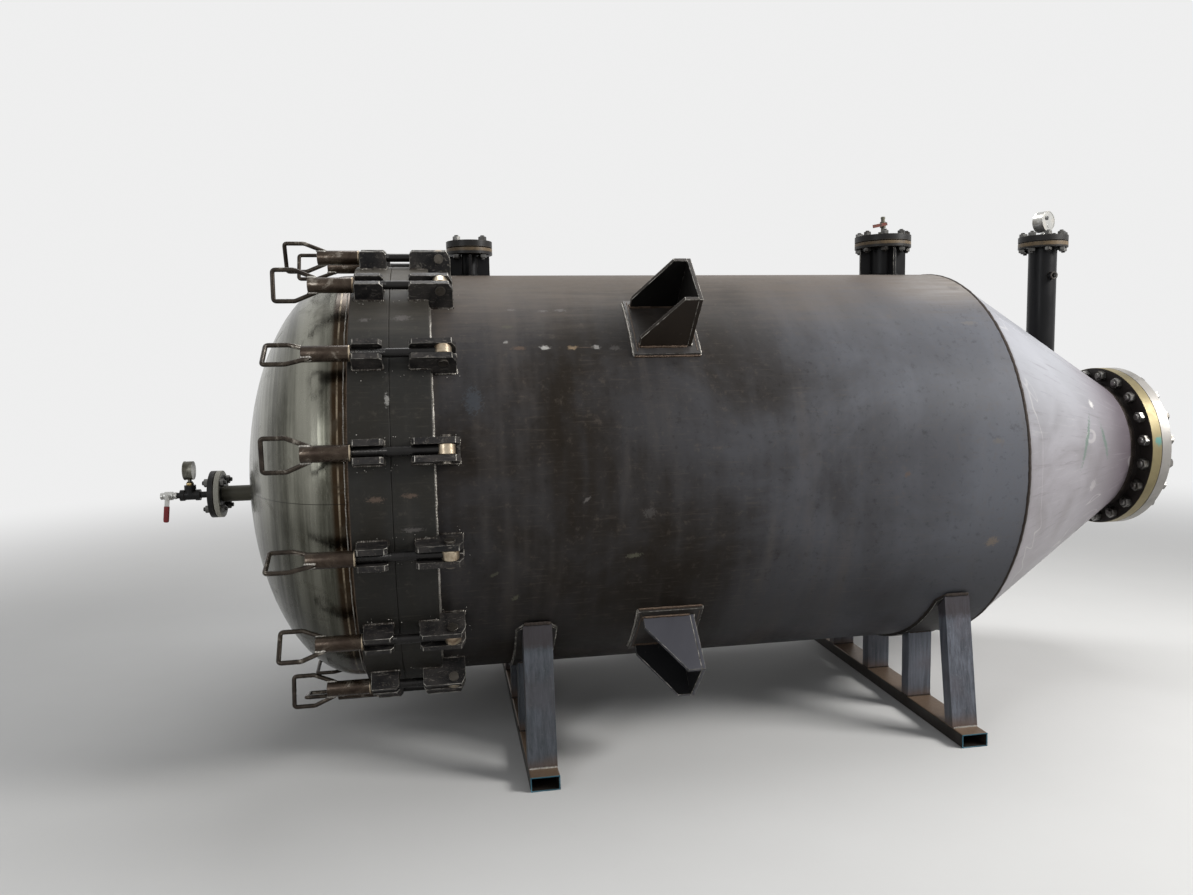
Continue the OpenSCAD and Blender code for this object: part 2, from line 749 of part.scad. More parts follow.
module bracket_pads() {
    half = pad_w / 2;
    x0 = bracket_x - pad_len;
    x1 = bracket_x + bracket_t + pad_beyond;
    color(steel) place() at_brackets() intersection() {
        turned([
            [shell_r, x0], [shell_r + pad_t, x0], [shell_r + pad_t, x1], [shell_r, x1]
        ]);
        translate([x0 - cut, -half, 0]) cube([x1 - x0 + 2 * cut, pad_w, shell_od]);
    }
}

module bracket_gussets() {
    x1 = bracket_x;
    x0 = x1 - gusset_len;
    foot = shell_r - bracket_sink;
    top = shell_r + bracket_reach;
    color(steel) place() difference() {
        at_brackets() for (side = [-1, 1])
            translate([0, side * (bracket_gap + bracket_t) / 2 + bracket_t / 2, 0]) rotate([90, 0, 0])
                linear_extrude(height = bracket_t) polygon([
                    [x0, foot], [x1, foot], [x1, top], [x1 - gusset_top, top], [x0, shell_r + gusset_low]
                ]);
        bar_x(x0 - cut, x1 + cut, shell_od + 2 * pad_t);
    }
}

module bracket_plates() {
    foot = shell_r - bracket_sink;
    half = bracket_gap / 2 + bracket_t;
    color(steel) place() difference() {
        at_brackets() translate([bracket_x, -half, foot])
            cube([bracket_t, 2 * half, bracket_reach + bracket_sink]);
        bar_x(bracket_x - cut, bracket_x + bracket_t + cut, shell_od + 2 * pad_t + 2 * seat_gap);
    }
}

function cradle_places() = [cradle_front_x, cradle_rear_x];

module wear_strips() {
    color(blue_grey) place() for (x = cradle_places()) difference() {
        intersection() {
            turned([
                [strip_r, x - strip_w / 2], [strip_r + strip_t, x - strip_w / 2],
                [strip_r + strip_t, x + strip_w / 2], [strip_r, x + strip_w / 2]
            ]);
            rotate([0, 90, 0]) linear_extrude(height = 2 * shell_len) polygon([
                [0, 0],
                [shell_od * cos(strip_half_angle), shell_od * sin(strip_half_angle)],
                [shell_od, 0],
                [shell_od * cos(strip_half_angle), -shell_od * sin(strip_half_angle)]
            ]);
        }
        for (side = [-1, 1], end = [-1, 1]) rotate([180 + side * strip_half_angle, 0, 0])
            translate([x + end * strip_w / 2, 0, strip_r]) rotate([0, 0, atan2(-side, end)])
                corner_cutter();
    }
}

// Block whose face takes the corner off at 45 degrees
module corner_cutter() {
    size = 4 * strip_chamfer;
    translate([-strip_chamfer / sqrt(2), -size / 2, -2 * strip_t]) cube([size, size, 4 * strip_t]);
}

// Hollow section of the given length, standing on its end
module hollow_section(length) {
    difference() {
        translate([-section_w / 2, -section_h / 2, 0]) cube([section_w, section_h, length]);
        translate([-section_w / 2 + section_wall, -section_h / 2 + section_wall, -cut])
            cube([section_w - 2 * section_wall, section_h - 2 * section_wall, length + 2 * cut]);
    }
}

module cradle_posts() {
    color(blue_grey) place() difference() {
        for (x = cradle_places(), y = [-post_y, 0, post_y])
            translate([x, y, beam_top]) hollow_section(-beam_top - shell_r / 2);
        bar_x(0, shell_len, 2 * (strip_r + strip_t));
    }
}

module cradle_legs() {
    strip_beyond = 1.5;
    leg_angle = strip_half_angle - strip_beyond;
    leg_sink = 40;
    leg_over = 60;
    top_y = (strip_r + strip_t) * sin(leg_angle);
    top_z = -(strip_r + strip_t) * cos(leg_angle);
    slant = atan2(leg_foot_y - top_y, top_z - beam_top);
    color(blue_grey) place() difference() {
        for (x = cradle_places(), side = [-1, 1])
            translate([x, side * leg_foot_y, beam_top]) rotate([side * slant, 0, 0])
                translate([0, 0, -leg_sink])
                    hollow_section(norm([leg_foot_y - top_y, top_z - beam_top]) + leg_over);
        bar_x(0, shell_len, 2 * (strip_r + strip_t));
        translate([0, -shell_od, beam_top - section_h * 2]) cube([shell_len, 2 * shell_od, section_h * 2]);
    }
}

module cradle_beams() {
    color(blue_grey) place() for (x = cradle_places())
        translate([x, -beam_len / 2, beam_top - section_h / 2]) rotate([-90, 0, 0])
            hollow_section(beam_len);
}

shell();
cone();
body_ring();
cover_ring();
cover_dish();
cover_lugs();
body_lugs();
hinge_pins();
outlet_flange();
outlet_gasket();
outlet_blind();
nozzle_pipes();
nozzle_gussets();
nozzle_flanges();
nozzle_blinds();
vent_valve();
vent_lever();
top_gauge();
test_tee();
test_gauge();
test_valve();
test_lever();
bracket_pads();
bracket_gussets();
bracket_plates();
wear_strips();
cradle_legs();
cradle_posts();
cradle_beams();
for (i = [0:clamp_count - 1])
    swing_bolt(i);
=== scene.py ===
"""Looks of the horizontal pressure tank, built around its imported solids.

X runs along the tank from the head to the outlet, Z is up and the floor is at
zero. Sizes of shapes are in millimetres, along the tank from the weld between
shell and body ring, and outward from the centre line. Materials work in metres,
as nodes do, and read each object's own coordinates, so they move with it.
"""
import json
import math
import random

import bpy
from mathutils import Matrix, Vector


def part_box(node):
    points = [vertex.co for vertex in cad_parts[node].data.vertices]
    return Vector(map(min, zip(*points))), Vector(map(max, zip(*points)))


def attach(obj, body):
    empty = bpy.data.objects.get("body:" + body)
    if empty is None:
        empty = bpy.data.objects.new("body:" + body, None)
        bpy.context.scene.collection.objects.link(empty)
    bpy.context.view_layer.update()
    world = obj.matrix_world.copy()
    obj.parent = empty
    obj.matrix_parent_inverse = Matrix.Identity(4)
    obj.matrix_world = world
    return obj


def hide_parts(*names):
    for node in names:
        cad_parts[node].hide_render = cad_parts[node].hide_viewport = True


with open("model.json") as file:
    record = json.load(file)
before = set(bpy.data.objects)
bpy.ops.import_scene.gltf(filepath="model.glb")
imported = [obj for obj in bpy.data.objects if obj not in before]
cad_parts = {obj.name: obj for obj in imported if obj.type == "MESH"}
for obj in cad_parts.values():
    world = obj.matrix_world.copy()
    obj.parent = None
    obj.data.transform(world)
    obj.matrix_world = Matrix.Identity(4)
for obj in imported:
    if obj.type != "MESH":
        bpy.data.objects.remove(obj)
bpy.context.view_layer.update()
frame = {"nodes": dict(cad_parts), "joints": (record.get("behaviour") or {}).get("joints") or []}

MM = 0.001
TANK = "tank"

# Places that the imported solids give
SHELL_LOW, SHELL_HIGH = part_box("shell")
WELD_X = SHELL_LOW.x
AXIS_Z = (SHELL_LOW.z + SHELL_HIGH.z) / 2
AXIS_HEIGHT = AXIS_Z / MM
SHELL_R = (SHELL_HIGH.y - SHELL_LOW.y) / 2 / MM
SHELL_LEN = (SHELL_HIGH.x - WELD_X) / MM
RING_R = (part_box("body_ring")[1].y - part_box("body_ring")[0].y) / 2 / MM
RING_BACK = (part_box("cover_ring")[0].x - WELD_X) / MM
HEAD_NOZZLE_X = (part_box("nozzle_blinds")[0].x - WELD_X) / MM + 20.5
HUB_X = (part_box("outlet_flange")[0].x - WELD_X) / MM
CONE_SLOPE = math.tan(math.radians(30))

# Sizes of the closure's pieces, as in the solids
CLAMPS = 16
LUG_INNER, LUG_OUTER = 17.5, 37.5
COVER_LUG = (-242.5, -148.5)
BODY_LUG = (-65, 82)
PIN_X = 40
ROD_R = 15
EYE_R, EYE_HALF, EYE_BORE_R = 28, 16.5, 12.9
NUT_R = 26
NUT_FACE, NUT_END = -244.5, -392.5
HANDLE_END = -510.5
HANDLE_LEG = 51.5
HANDLE_FLARE = 42
HANDLE_BEND = 11
BAR_R = 7.5
HANDLE_TURNS = (80, -54, 21, -14, 77, 73, 68, 0)

# Sizes of the other welded pieces
BRACKET_X, BRACKET_T = 864, 14
PAD_T, PAD_HALF = 12, 134
PAD_SPAN = (676, 908)
GUSSET_SPAN = (696, 864)
GUSSET_INNER, GUSSET_OUTER = 91, 105
CRADLES = (326, 1890)
STRIP_HALF, STRIP_CHAMFER, STRIP_ANGLE = 68, 24, 52
STRIP_OUT_R = SHELL_R + 10.3
SECTION_HALF_X, SECTION_HALF_Y = 50, 25
BEAM_TOP = 50
POST_SIDES = (-341, 0, 341)
LEG_FOOT_Y, LEG_LEAN = 662, 8.29

# Top nozzles: x, height of the joint, pipe radius, flange radius, bolt circle, bolts
TOP_NOZZLES = (
    (161, 868, 30.15, 89, 139.7, 4),
    (1900, 898, 57.15, 114.5, 190.5, 8),
    (2657, 902, 57.15, 100, 165, 8),
)
TOP_FACE, HEAD_FACE = 25.5, 20.5
HEAD_NOZZLE_Z, HEAD_NOZZLE_R = -55, 30.15
HEAD_X, HEAD_DEPTH = -286.5, 387
HEAD_NOZZLE_PCD, HEAD_NOZZLE_BOLTS = 139.7, 4
TEE_X = HEAD_NOZZLE_X - HEAD_FACE - 78
TEE_TOP = HEAD_NOZZLE_Z + 38
VALVE_X = TEE_X - 77
NOZZLE_GUSSET_HALF, NOZZLE_GUSSET_INSET = 5, 12
OUTLET_HUB_R, OUTLET_PCD, OUTLET_BOLTS, OUTLET_GRIP = 279.5, 635, 20, 88.8
GAUGE_HALF, TOP_GAUGE_TURN, TOP_GAUGE_RISE = 23, 110, 64
COUPLING_REACH, COUPLING_DROP = 80, 148
VENT_TOP = 107.5

# Light levels
BACKGROUND = 0.86
AMBIENT = 0.30


# Mesh helpers

class Form:
    """A mesh under construction, with a material number for each face."""

    def __init__(self):
        self.points, self.faces, self.numbers, self.along = [], [], [], []

    def add(self, shape, place=Matrix(), number=0):
        points, faces, *along = shape
        start = len(self.points)
        self.points += [tuple(place @ Vector(p)) for p in points]
        self.faces += [tuple(start + i for i in face) for face in faces]
        self.numbers += [number] * len(faces)
        self.along += along[0] if along else [0.0] * len(points)

    def fillet(self, path, normals, size, number, **options):
        """A weld bead as wide as a fillet of its height."""
        self.add(bead(path, normals, size * 2.3, size, **options), number=number)

    def piece(self, name, materials, body=TANK, slot=None):
        """Makes the object and rides it on its body; its slot is not used."""
        mesh = bpy.data.meshes.new(name)
        mesh.from_pydata(self.points, [], self.faces)
        mesh.polygons.foreach_set("material_index", self.numbers)
        mesh.attributes.new("along", "FLOAT", "POINT").data.foreach_set("value", self.along)
        mesh.validate()
        mesh.shade_smooth()
        mesh.set_sharp_from_angle(angle=math.radians(32))
        obj = bpy.data.objects.new(name, mesh)
        bpy.context.scene.collection.objects.link(obj)
        for material in materials:
            mesh.materials.append(material)
        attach(obj, body)
        return obj


def ring(count):
    """The angles of points that stand evenly round a circle."""
    return [2 * math.pi * i / count for i in range(count)]


def steps(start, end, count):
    """Evenly spaced values or places, with both ends."""
    return [start + (end - start) * (i / (count - 1)) for i in range(count)]


def aim(origin, toward, side=None):
    """A frame at origin whose Z points toward a direction."""
    z = Vector(toward).normalized()
    helper = Vector(side or ((1, 0, 0) if abs(z.x) < 0.9 else (0, 1, 0)))
    x = (helper - helper.dot(z) * z).normalized()
    rows = Matrix((x, z.cross(x), z)).transposed().to_4x4()
    rows.translation = Vector(origin)
    return rows


def shifted(place, x, y, z=0):
    """The frame moved by millimetres along its own axes."""
    return place @ Matrix.Translation(Vector((x, y, z)) * MM)


def skin(rings, segments, caps=False, wrap=False):
    """Faces between rings of points that follow one another."""
    faces = []
    for i in range(rings if wrap else rings - 1):
        a, b = i * segments, (i + 1) % rings * segments
        for k in range(segments):
            n = (k + 1) % segments
            faces.append((a + k, a + n, b + n, b + k))
    if caps:
        last = (rings - 1) * segments
        faces.append(tuple(reversed(range(segments))))
        faces.append(tuple(range(last, last + segments)))
    return faces


def lathe(profile, segments=48, caps=True, radius=None, wrap=False):
    """Turns (height, radius) points about Z. The radius function reshapes each ring."""
    points = []
    for height, r in profile:
        for a in ring(segments):
            d = (radius(a, r) if radius else r) * MM
            points.append((d * math.cos(a), d * math.sin(a), height * MM))
    return points, skin(len(profile), segments, caps and not wrap, wrap)


def tube_ring(profile, segments=48):
    """Turns a closed (height, radius) outline about Z, so that it is hollow."""
    return lathe(profile, segments, wrap=True)


def hexagon(across):
    """A radius function for a hexagon bar whose ends are turned to a chamfer."""
    def shape(angle, limit):
        turn = (angle % (math.pi / 3)) - math.pi / 6
        return min(across / 2 / math.cos(turn), limit)
    return shape


def flattened(half_width, half_thick):
    """A radius function for a flat bar with well rounded sides."""
    def shape(angle, scale):
        reach = (abs(math.cos(angle)) / half_width) ** 3 + (abs(math.sin(angle)) / half_thick) ** 3
        return scale / reach ** (1 / 3)
    return shape


def nut(across, height, bore):
    """A hexagon nut standing on the XY plane, with both corners turned down."""
    segments = 36
    full = across / 2 / math.cos(math.pi / 6)
    step = (full - across * 0.48) / 3
    rings = [(step * 0.58 * i, across * 0.48 + step * i) for i in range(4)]
    outside = rings + [(height - h, r) for h, r in reversed(rings)]
    points, faces = lathe(outside, segments, False, hexagon(across))
    low, high = len(points), len(points) + segments
    points += lathe([(0, bore), (height, bore)], segments)[0]
    last = (len(outside) - 1) * segments
    for k in range(segments):
        n = (k + 1) % segments
        faces.append((k, low + k, low + n, n))
        faces.append((last + k, last + n, high + n, high + k))
    return points, faces


def threaded(radius, length, pitch):
    """A threaded stud end that grows from the XY plane to its chamfered tip."""
    profile, z = [(0, radius)], 0
    while z < length - pitch * 1.5:
        profile += [(z + pitch * 0.25, radius), (z + pitch * 0.6, radius * 0.9), (z + pitch * 0.95, radius)]
        z += pitch
    return lathe(profile + [(length - pitch * 0.6, radius), (length, radius * 0.82)], 24)


def bent(corners, radii, steps=8):
    """A path through the corners, each inner one rounded with its own radius."""
    corners = [Vector(c) for c in corners]
    path = [corners[0]]
    for before, corner, after, radius in zip(corners, corners[1:], corners[2:], radii):
        a, b = before - corner, after - corner
        reach = min(radius / math.tan(a.angle(b) / 2), a.length * 0.49, b.length * 0.49)
        start, end = corner + a.normalized() * reach, corner + b.normalized() * reach
        for t in (s / steps for s in range(steps + 1)):
            path.append((1 - t) ** 2 * start + 2 * t * (1 - t) * corner + t ** 2 * end)
    return path + [corners[-1]]


def sweep(path, radius, segments=16):
    """A round bar along a path."""
    points = []
    side = (path[1] - path[0]).orthogonal()
    for i, p in enumerate(path):
        tangent = (path[min(i + 1, len(path) - 1)] - path[max(i - 1, 0)]).normalized()
        side = (side - side.dot(tangent) * tangent).normalized()
        other = tangent.cross(side)
        for a in ring(segments):
            points.append((p + radius * (math.cos(a) * side + math.sin(a) * other)) * MM)
    return points, skin(len(path), segments, True)


def box(low, high):
    """A plain block between two corners, for small parts of a larger shape."""
    xs, ys, zs = zip(low, high)
    points = [(x * MM, y * MM, z * MM) for x in xs for y in ys for z in zs]
    return points, [(0, 1, 3, 2), (4, 6, 7, 5), (0, 4, 5, 1), (2, 3, 7, 6), (0, 2, 6, 4), (1, 5, 7, 3)]


def bead(path, normals, width, height, closed=False, seed=1, across=7):
    """A weld bead along a path of places: a low ridge with an uneven edge and crown."""
    rng = random.Random(seed)
    wander, sink = 0.8 * MM, 0.3 * MM
    count = len(path)
    points, faces, along = [], [], []
    travelled = 0.0
    for i, p in enumerate(path):
        ahead = path[(i + 1) % count] if closed or i < count - 1 else p
        behind = path[i - 1] if closed or i > 0 else p
        normal = Vector(normals[i]).normalized()
        side = (ahead - behind).normalized().cross(normal).normalized()
        shift = rng.uniform(-wander, wander)
        w = width * MM / 2 * rng.uniform(0.86, 1.14)
        h = height * MM * rng.uniform(0.8, 1.15)
        if not closed and i in (0, count - 1):
            w, h = w * 0.55, h * 0.4
        for k in range(across):
            t = -1 + 2 * k / (across - 1)
            points.append(p + side * (shift + t * w) + normal * (h * (1 - t * t) - sink))
        along += [travelled] * across
        if i < count - 1:
            travelled += (path[i + 1] - p).length
    for i in range(count if closed else count - 1):
        a, b = i * across, (i + 1) % count * across
        faces += [(a + k, b + k, b + k + 1, a + k + 1) for k in range(across - 1)]
    return points, faces, along


# Places on the tank

def spot(x, y=0, z=0):
    """A place, from its millimetres along the tank, across it and up from its centre line."""
    return Vector((WELD_X + x * MM, y * MM, AXIS_Z + z * MM))


def directions(angle):
    """Outward and sideways directions at an angle from the top, round toward the camera's side."""
    a = math.radians(angle)
    return Vector((0, -math.sin(a), math.cos(a))), Vector((0, math.cos(a), math.sin(a)))


def on_wall(x, angle, radius=SHELL_R):
    """A point on a round wall."""
    return spot(x) + radius * MM * directions(angle)[0]


def around(x, radius, count, lean=0):
    """Points round the centre line, with outward directions that lean along the tank."""
    angles = [360 * i / count for i in range(count)]
    return [on_wall(x, a, radius) for a in angles], [directions(a)[0] + Vector((lean, 0, 0)) for a in angles]


def beside(angle, radius):
    """A wall function of (x, side): places beside the middle line of a clamp or bracket."""
    out, across = directions(angle)

    def wall(x, side):
        away = across * side + out * math.sqrt(radius ** 2 - side ** 2)
        return spot(x) + away * MM, away / radius, across
    return wall


def rolled(angle, radius):
    """A wall function of (x, arc): places along the arc from the middle line."""
    def wall(x, arc):
        turned = angle + math.degrees(arc / radius)
        out, across = directions(turned)
        return on_wall(x, turned, radius), out, -across
    return wall


def weld_line(form, wall, corners, centre, size, number, seed, closed=False, step=6):
    """A fillet weld along a path on a wall, leaning away from the centre of what it holds."""
    marks = []
    ends = corners[1:] + corners[:1] if closed else corners[1:]
    for (x0, s0), (x1, s1) in zip(corners, ends):
        dx, ds = x1 - x0, s1 - s0
        length = math.hypot(dx, ds)
        away = Vector((ds, -dx)) / length
        if away.dot(Vector(((x0 + x1) / 2 - centre[0], (s0 + s1) / 2 - centre[1]))) < 0:
            away = -away
        count = max(2, round(length / step))
        marks += [(x0 + dx * i / count, s0 + ds * i / count, away) for i in range(count)]
    if not closed:
        marks.append((*corners[-1], away))
    points, normals = [], []
    for x, side, away in marks:
        point, out, across = wall(x, side)
        points.append(point)
        normals.append(out + Vector((away.x, 0, 0)) + across * away.y)
    form.fillet(points, normals, size, number, closed=closed, seed=seed, across=5)


# Material helpers

class Nodes:
    """A node tree that is built with short calls."""

    def __init__(self, owner):
        owner.use_nodes = True
        self.tree = owner.node_tree
        self.tree.nodes.clear()

    def feed(self, node, inputs):
        """Sets or links a node's inputs, which are named or counted."""
        for key, value in inputs.items():
            socket = node.inputs[key]
            if isinstance(value, bpy.types.NodeSocket):
                self.tree.links.new(value, socket)
            elif value is not None:
                socket.default_value = (*value, 1) if socket.type == "RGBA" else value
        return node

    def node(self, kind, inputs, **settings):
        node = self.tree.nodes.new("ShaderNode" + kind)
        for key, value in settings.items():
            setattr(node, key, value)
        return self.feed(node, inputs)

    def math(self, operation, *values):
        return self.node("Math", dict(enumerate(values)), operation=operation).outputs[0]

    def times(self, a, b):
        return self.math("MULTIPLY", a, b)

    def plus(self, a, b, scale=1.0):
        """The sum of b and a scaled a."""
        return self.math("MULTIPLY_ADD", a, scale, b)

    def seen(self):
        """1 for camera rays and for rays that mirror or pass through."""
        path = self.node("LightPath", {}).outputs
        shiny = self.math("MAXIMUM", path["Is Glossy Ray"], path["Is Transmission Ray"])
        return self.math("MAXIMUM", path["Is Camera Ray"], shiny)


class Paint(Nodes):
    """A material whose colour is laid on in layers."""

    def __init__(self, name, metallic=0.0, specular=0.3, roughness=0.5):
        self.material = bpy.data.materials.new(name)
        super().__init__(self.material)
        values = {"Metallic": metallic, "Roughness": roughness, "Specular IOR Level": specular}
        self.shader = self.node("BsdfPrincipled", values)
        self.output = self.node("OutputMaterial", {0: self.shader.outputs[0]})
        self.own = self.node("TexCoord", {}).outputs["Object"]
        self.color = None

    def stretch(self, scale, move=(0, 0, 0), turn=0, kind="POINT"):
        """Own coordinates scaled, moved and turned about Y."""
        values = {"Vector": self.own, "Location": move, "Scale": scale}
        values["Rotation"] = (0, math.radians(turn), 0)
        return self.node("Mapping", values, vector_type=kind).outputs[0]

    def noise(self, scale, detail=5, rough=0.55, stretch=None, distortion=0.0, at=None):
        at = at or (self.stretch(stretch) if stretch else self.own)
        values = {"Vector": at, "Scale": scale, "Detail": detail, "Roughness": rough}
        values["Distortion"] = distortion
        return self.node("TexNoise", values).outputs["Fac"]

    def span(self, value, low, high, to_low=0.0, to_high=1.0):
        """Maps low..high to to_low..to_high, clamped and eased."""
        values = {"Value": value, "From Min": low, "From Max": high, "To Min": to_low, "To Max": to_high}
        return self.node("MapRange", values, interpolation_type="SMOOTHSTEP").outputs[0]

    def vector(self, operation, a, b=None):
        node = self.node("VectorMath", {0: a, 1: b}, operation=operation)
        return node.outputs["Value" if operation in ("LENGTH", "DOT_PRODUCT") else 0]

    def mix(self, factor, a, b):
        return self.node("Mix", {0: factor, 6: self.tone(a), 7: self.tone(b)}, data_type="RGBA").outputs[2]

    def tone(self, color):
        return color

    def axes(self, source=None):
        return tuple(self.node("SeparateXYZ", {0: source or self.own}).outputs)

    def place(self):
        """X from the weld, Y, and Z from the centre line."""
        return self.axes(self.vector("SUBTRACT", self.own, (WELD_X, 0, AXIS_Z)))

    def facing_up(self):
        return self.axes(self.node("NewGeometry", {}).outputs["Normal"])[2]

    def off_line(self, rise=0.0):
        """The distance from a line along the tank, at a rise above its centre line."""
        from_line = self.vector("SUBTRACT", self.own, (0, 0, AXIS_Z + rise))
        return self.vector("LENGTH", self.vector("MULTIPLY", from_line, (0, 1, 1)))

    def line(self, value, middle, outer, inner, strength=1.0):
        """Up to strength within inner of a value's middle, and 0 past outer."""
        return self.span(self.math("ABSOLUTE", self.plus(value, -middle)), outer, inner, 0, strength)

    def worn_corner(self):
        """1 close to a sharp outer edge, from how far the rounded normal turns."""
        soft = self.node("Bevel", {"Radius": 0.0025}, samples=4).outputs[0]
        flat = self.node("NewGeometry", {}).outputs["Normal"]
        return self.span(self.math("SUBTRACT", 1.0, self.vector("DOT_PRODUCT", soft, flat)), 0.03, 0.25)

    def lay(self, tint, mask, low=None, high=None, strength=1.0):
        """Lays a tint over the colour, by a mask or where a value runs from low to high."""
        if low is not None:
            mask = self.span(mask, low, high, 0, strength)
        elif strength != 1.0:
            mask = self.times(mask, strength)
        self.color = self.mix(mask, self.color, tint)

    def spots(self, marks):
        """Lays ragged marks: (centre, half sizes, turn about Y, tint, strength). Gives their mask."""
        rough = self.times(self.plus(self.noise(110, 6, 0.8, distortion=0.8), -0.5), 4.4)
        total = 0.0
        for centre, half, turn, tint, strength in marks:
            reach = self.vector("LENGTH", self.stretch(half, centre, turn, "TEXTURE"))
            mask = self.span(self.plus(reach, rough), 1.1, 0.6, 0, strength)
            self.lay(tint, mask)
            total = self.math("MAXIMUM", mask, total)
        return total

    def finish(self, roughness, relief, strength, distance, metallic=None):
        """Links the colour, the roughness and a relief of small height."""
        bump = self.node("Bump", {"Strength": strength, "Distance": distance, "Height": relief}).outputs[0]
        values = {"Base Color": self.color, "Roughness": roughness, "Metallic": metallic, "Normal": bump}
        self.feed(self.shader, values)
        return self.material


def shade(color, level):
    return tuple(c * level for c in color)


# Materials

WHITE_RUB = (0.42, 0.41, 0.39)
TAN_RUB = (0.26, 0.19, 0.12)
OLIVE_RUB = (0.085, 0.083, 0.060)
GREY_RUB = (0.13, 0.12, 0.115)
BROWN_RUB = (0.12, 0.085, 0.065)
GREEN_SMEAR = (0.085, 0.150, 0.115)


def mark(x, angle, long, wide, tint, strength=0.8, turn=0.0, radius=SHELL_R, deep=None):
    """One rubbed spot on a round wall, with its half sizes along the tank and across it."""
    half = (long * MM, (deep or wide) * MM, wide * MM)
    return tuple(on_wall(x, angle, radius)), half, turn, tint, strength


def shell_marks():
    return [
        mark(248, 49.8, 9, 6, WHITE_RUB, 0.5), mark(291, 51.8, 24, 9, BROWN_RUB, 0.7),
        mark(377, 51.8, 16, 9, WHITE_RUB, 0.9), mark(469, 52.0, 15, 8, TAN_RUB, 0.9),
        mark(551, 51.9, 14, 8, WHITE_RUB, 0.7), mark(614, 52.3, 18, 10, GREY_RUB, 0.5),
        mark(510, 51.9, 46, 2, BROWN_RUB, 0.5), mark(258, 44.4, 20, 8, OLIVE_RUB, 0.6),
        mark(277, 37.5, 16, 6, GREY_RUB, 0.7), mark(388, 38.1, 18, 6, GREY_RUB, 0.7),
        mark(451, 37.9, 20, 8, GREY_RUB, 0.6), mark(130, 66.5, 30, 46, (0.06, 0.068, 0.08), 0.6),
        mark(482, 91.7, 15, 5, GREY_RUB, 0.8, -38), mark(642, 106.9, 26, 9, OLIVE_RUB, 0.85, -9),
        mark(181, 110.0, 20, 6, OLIVE_RUB, 0.55, -28), mark(250, 117.6, 17, 9, OLIVE_RUB, 0.75, -42),
        mark(692, 95.7, 20, 18, GREY_RUB, 0.3), mark(1965, 45.1, 30, 10, GREY_RUB, 0.7),
        mark(1954, 81.1, 22, 11, GREY_RUB, 0.75), mark(1605, 88.8, 12, 9, BROWN_RUB, 0.6, -20),
        mark(1959, 109.1, 27, 18, (0.17, 0.135, 0.105), 0.7, -25), mark(2020, 26.6, 26, 20, GREY_RUB, 0.7),
        mark(1100, -60, 50, 18, GREY_RUB, 0.6), mark(520, -112, 28, 14, OLIVE_RUB, 0.7),
        mark(1450, -84, 24, 10, WHITE_RUB, 0.6), mark(900, -38, 34, 10, BROWN_RUB, 0.6),
    ]


def ring_marks():
    r = RING_R
    return [
        mark(-209, 44.0, 18, 8, GREY_RUB, 0.7, 0, r), mark(-88, 43.4, 30, 14, GREY_RUB, 0.6, 0, r),
        mark(-179, 89.1, 26, 9, BROWN_RUB, 0.75, 0, r), mark(-76, 88.5, 24, 8, BROWN_RUB, 0.7, 0, r),
        mark(-71, 96.3, 30, 8, GREY_RUB, 0.6, 0, r), mark(-137, 66.6, 7, 24, WHITE_RUB, 0.6, 0, r),
        mark(-100, -50, 26, 14, GREY_RUB, 0.6, 0, r), mark(-180, -100, 22, 10, BROWN_RUB, 0.6, 0, r),
    ]


def cone_marks():
    return [
        mark(2591, 62.3, 20, 16, (0.62, 0.61, 0.60), 0.8, 0, 462),
        mark(2500, 81.3, 112, 11, GREEN_SMEAR, 0.75, -64.3, 515, 90),
        mark(2647.5, 81.2, 70, 11, GREEN_SMEAR, 0.7, 72, 430, 70),
        mark(2569, 102.6, 30, 24, (0.46, 0.44, 0.44), 0.4, 0, 475),
        mark(2300, -70, 26, 14, (0.55, 0.54, 0.53), 0.6, 0, 630),
    ]


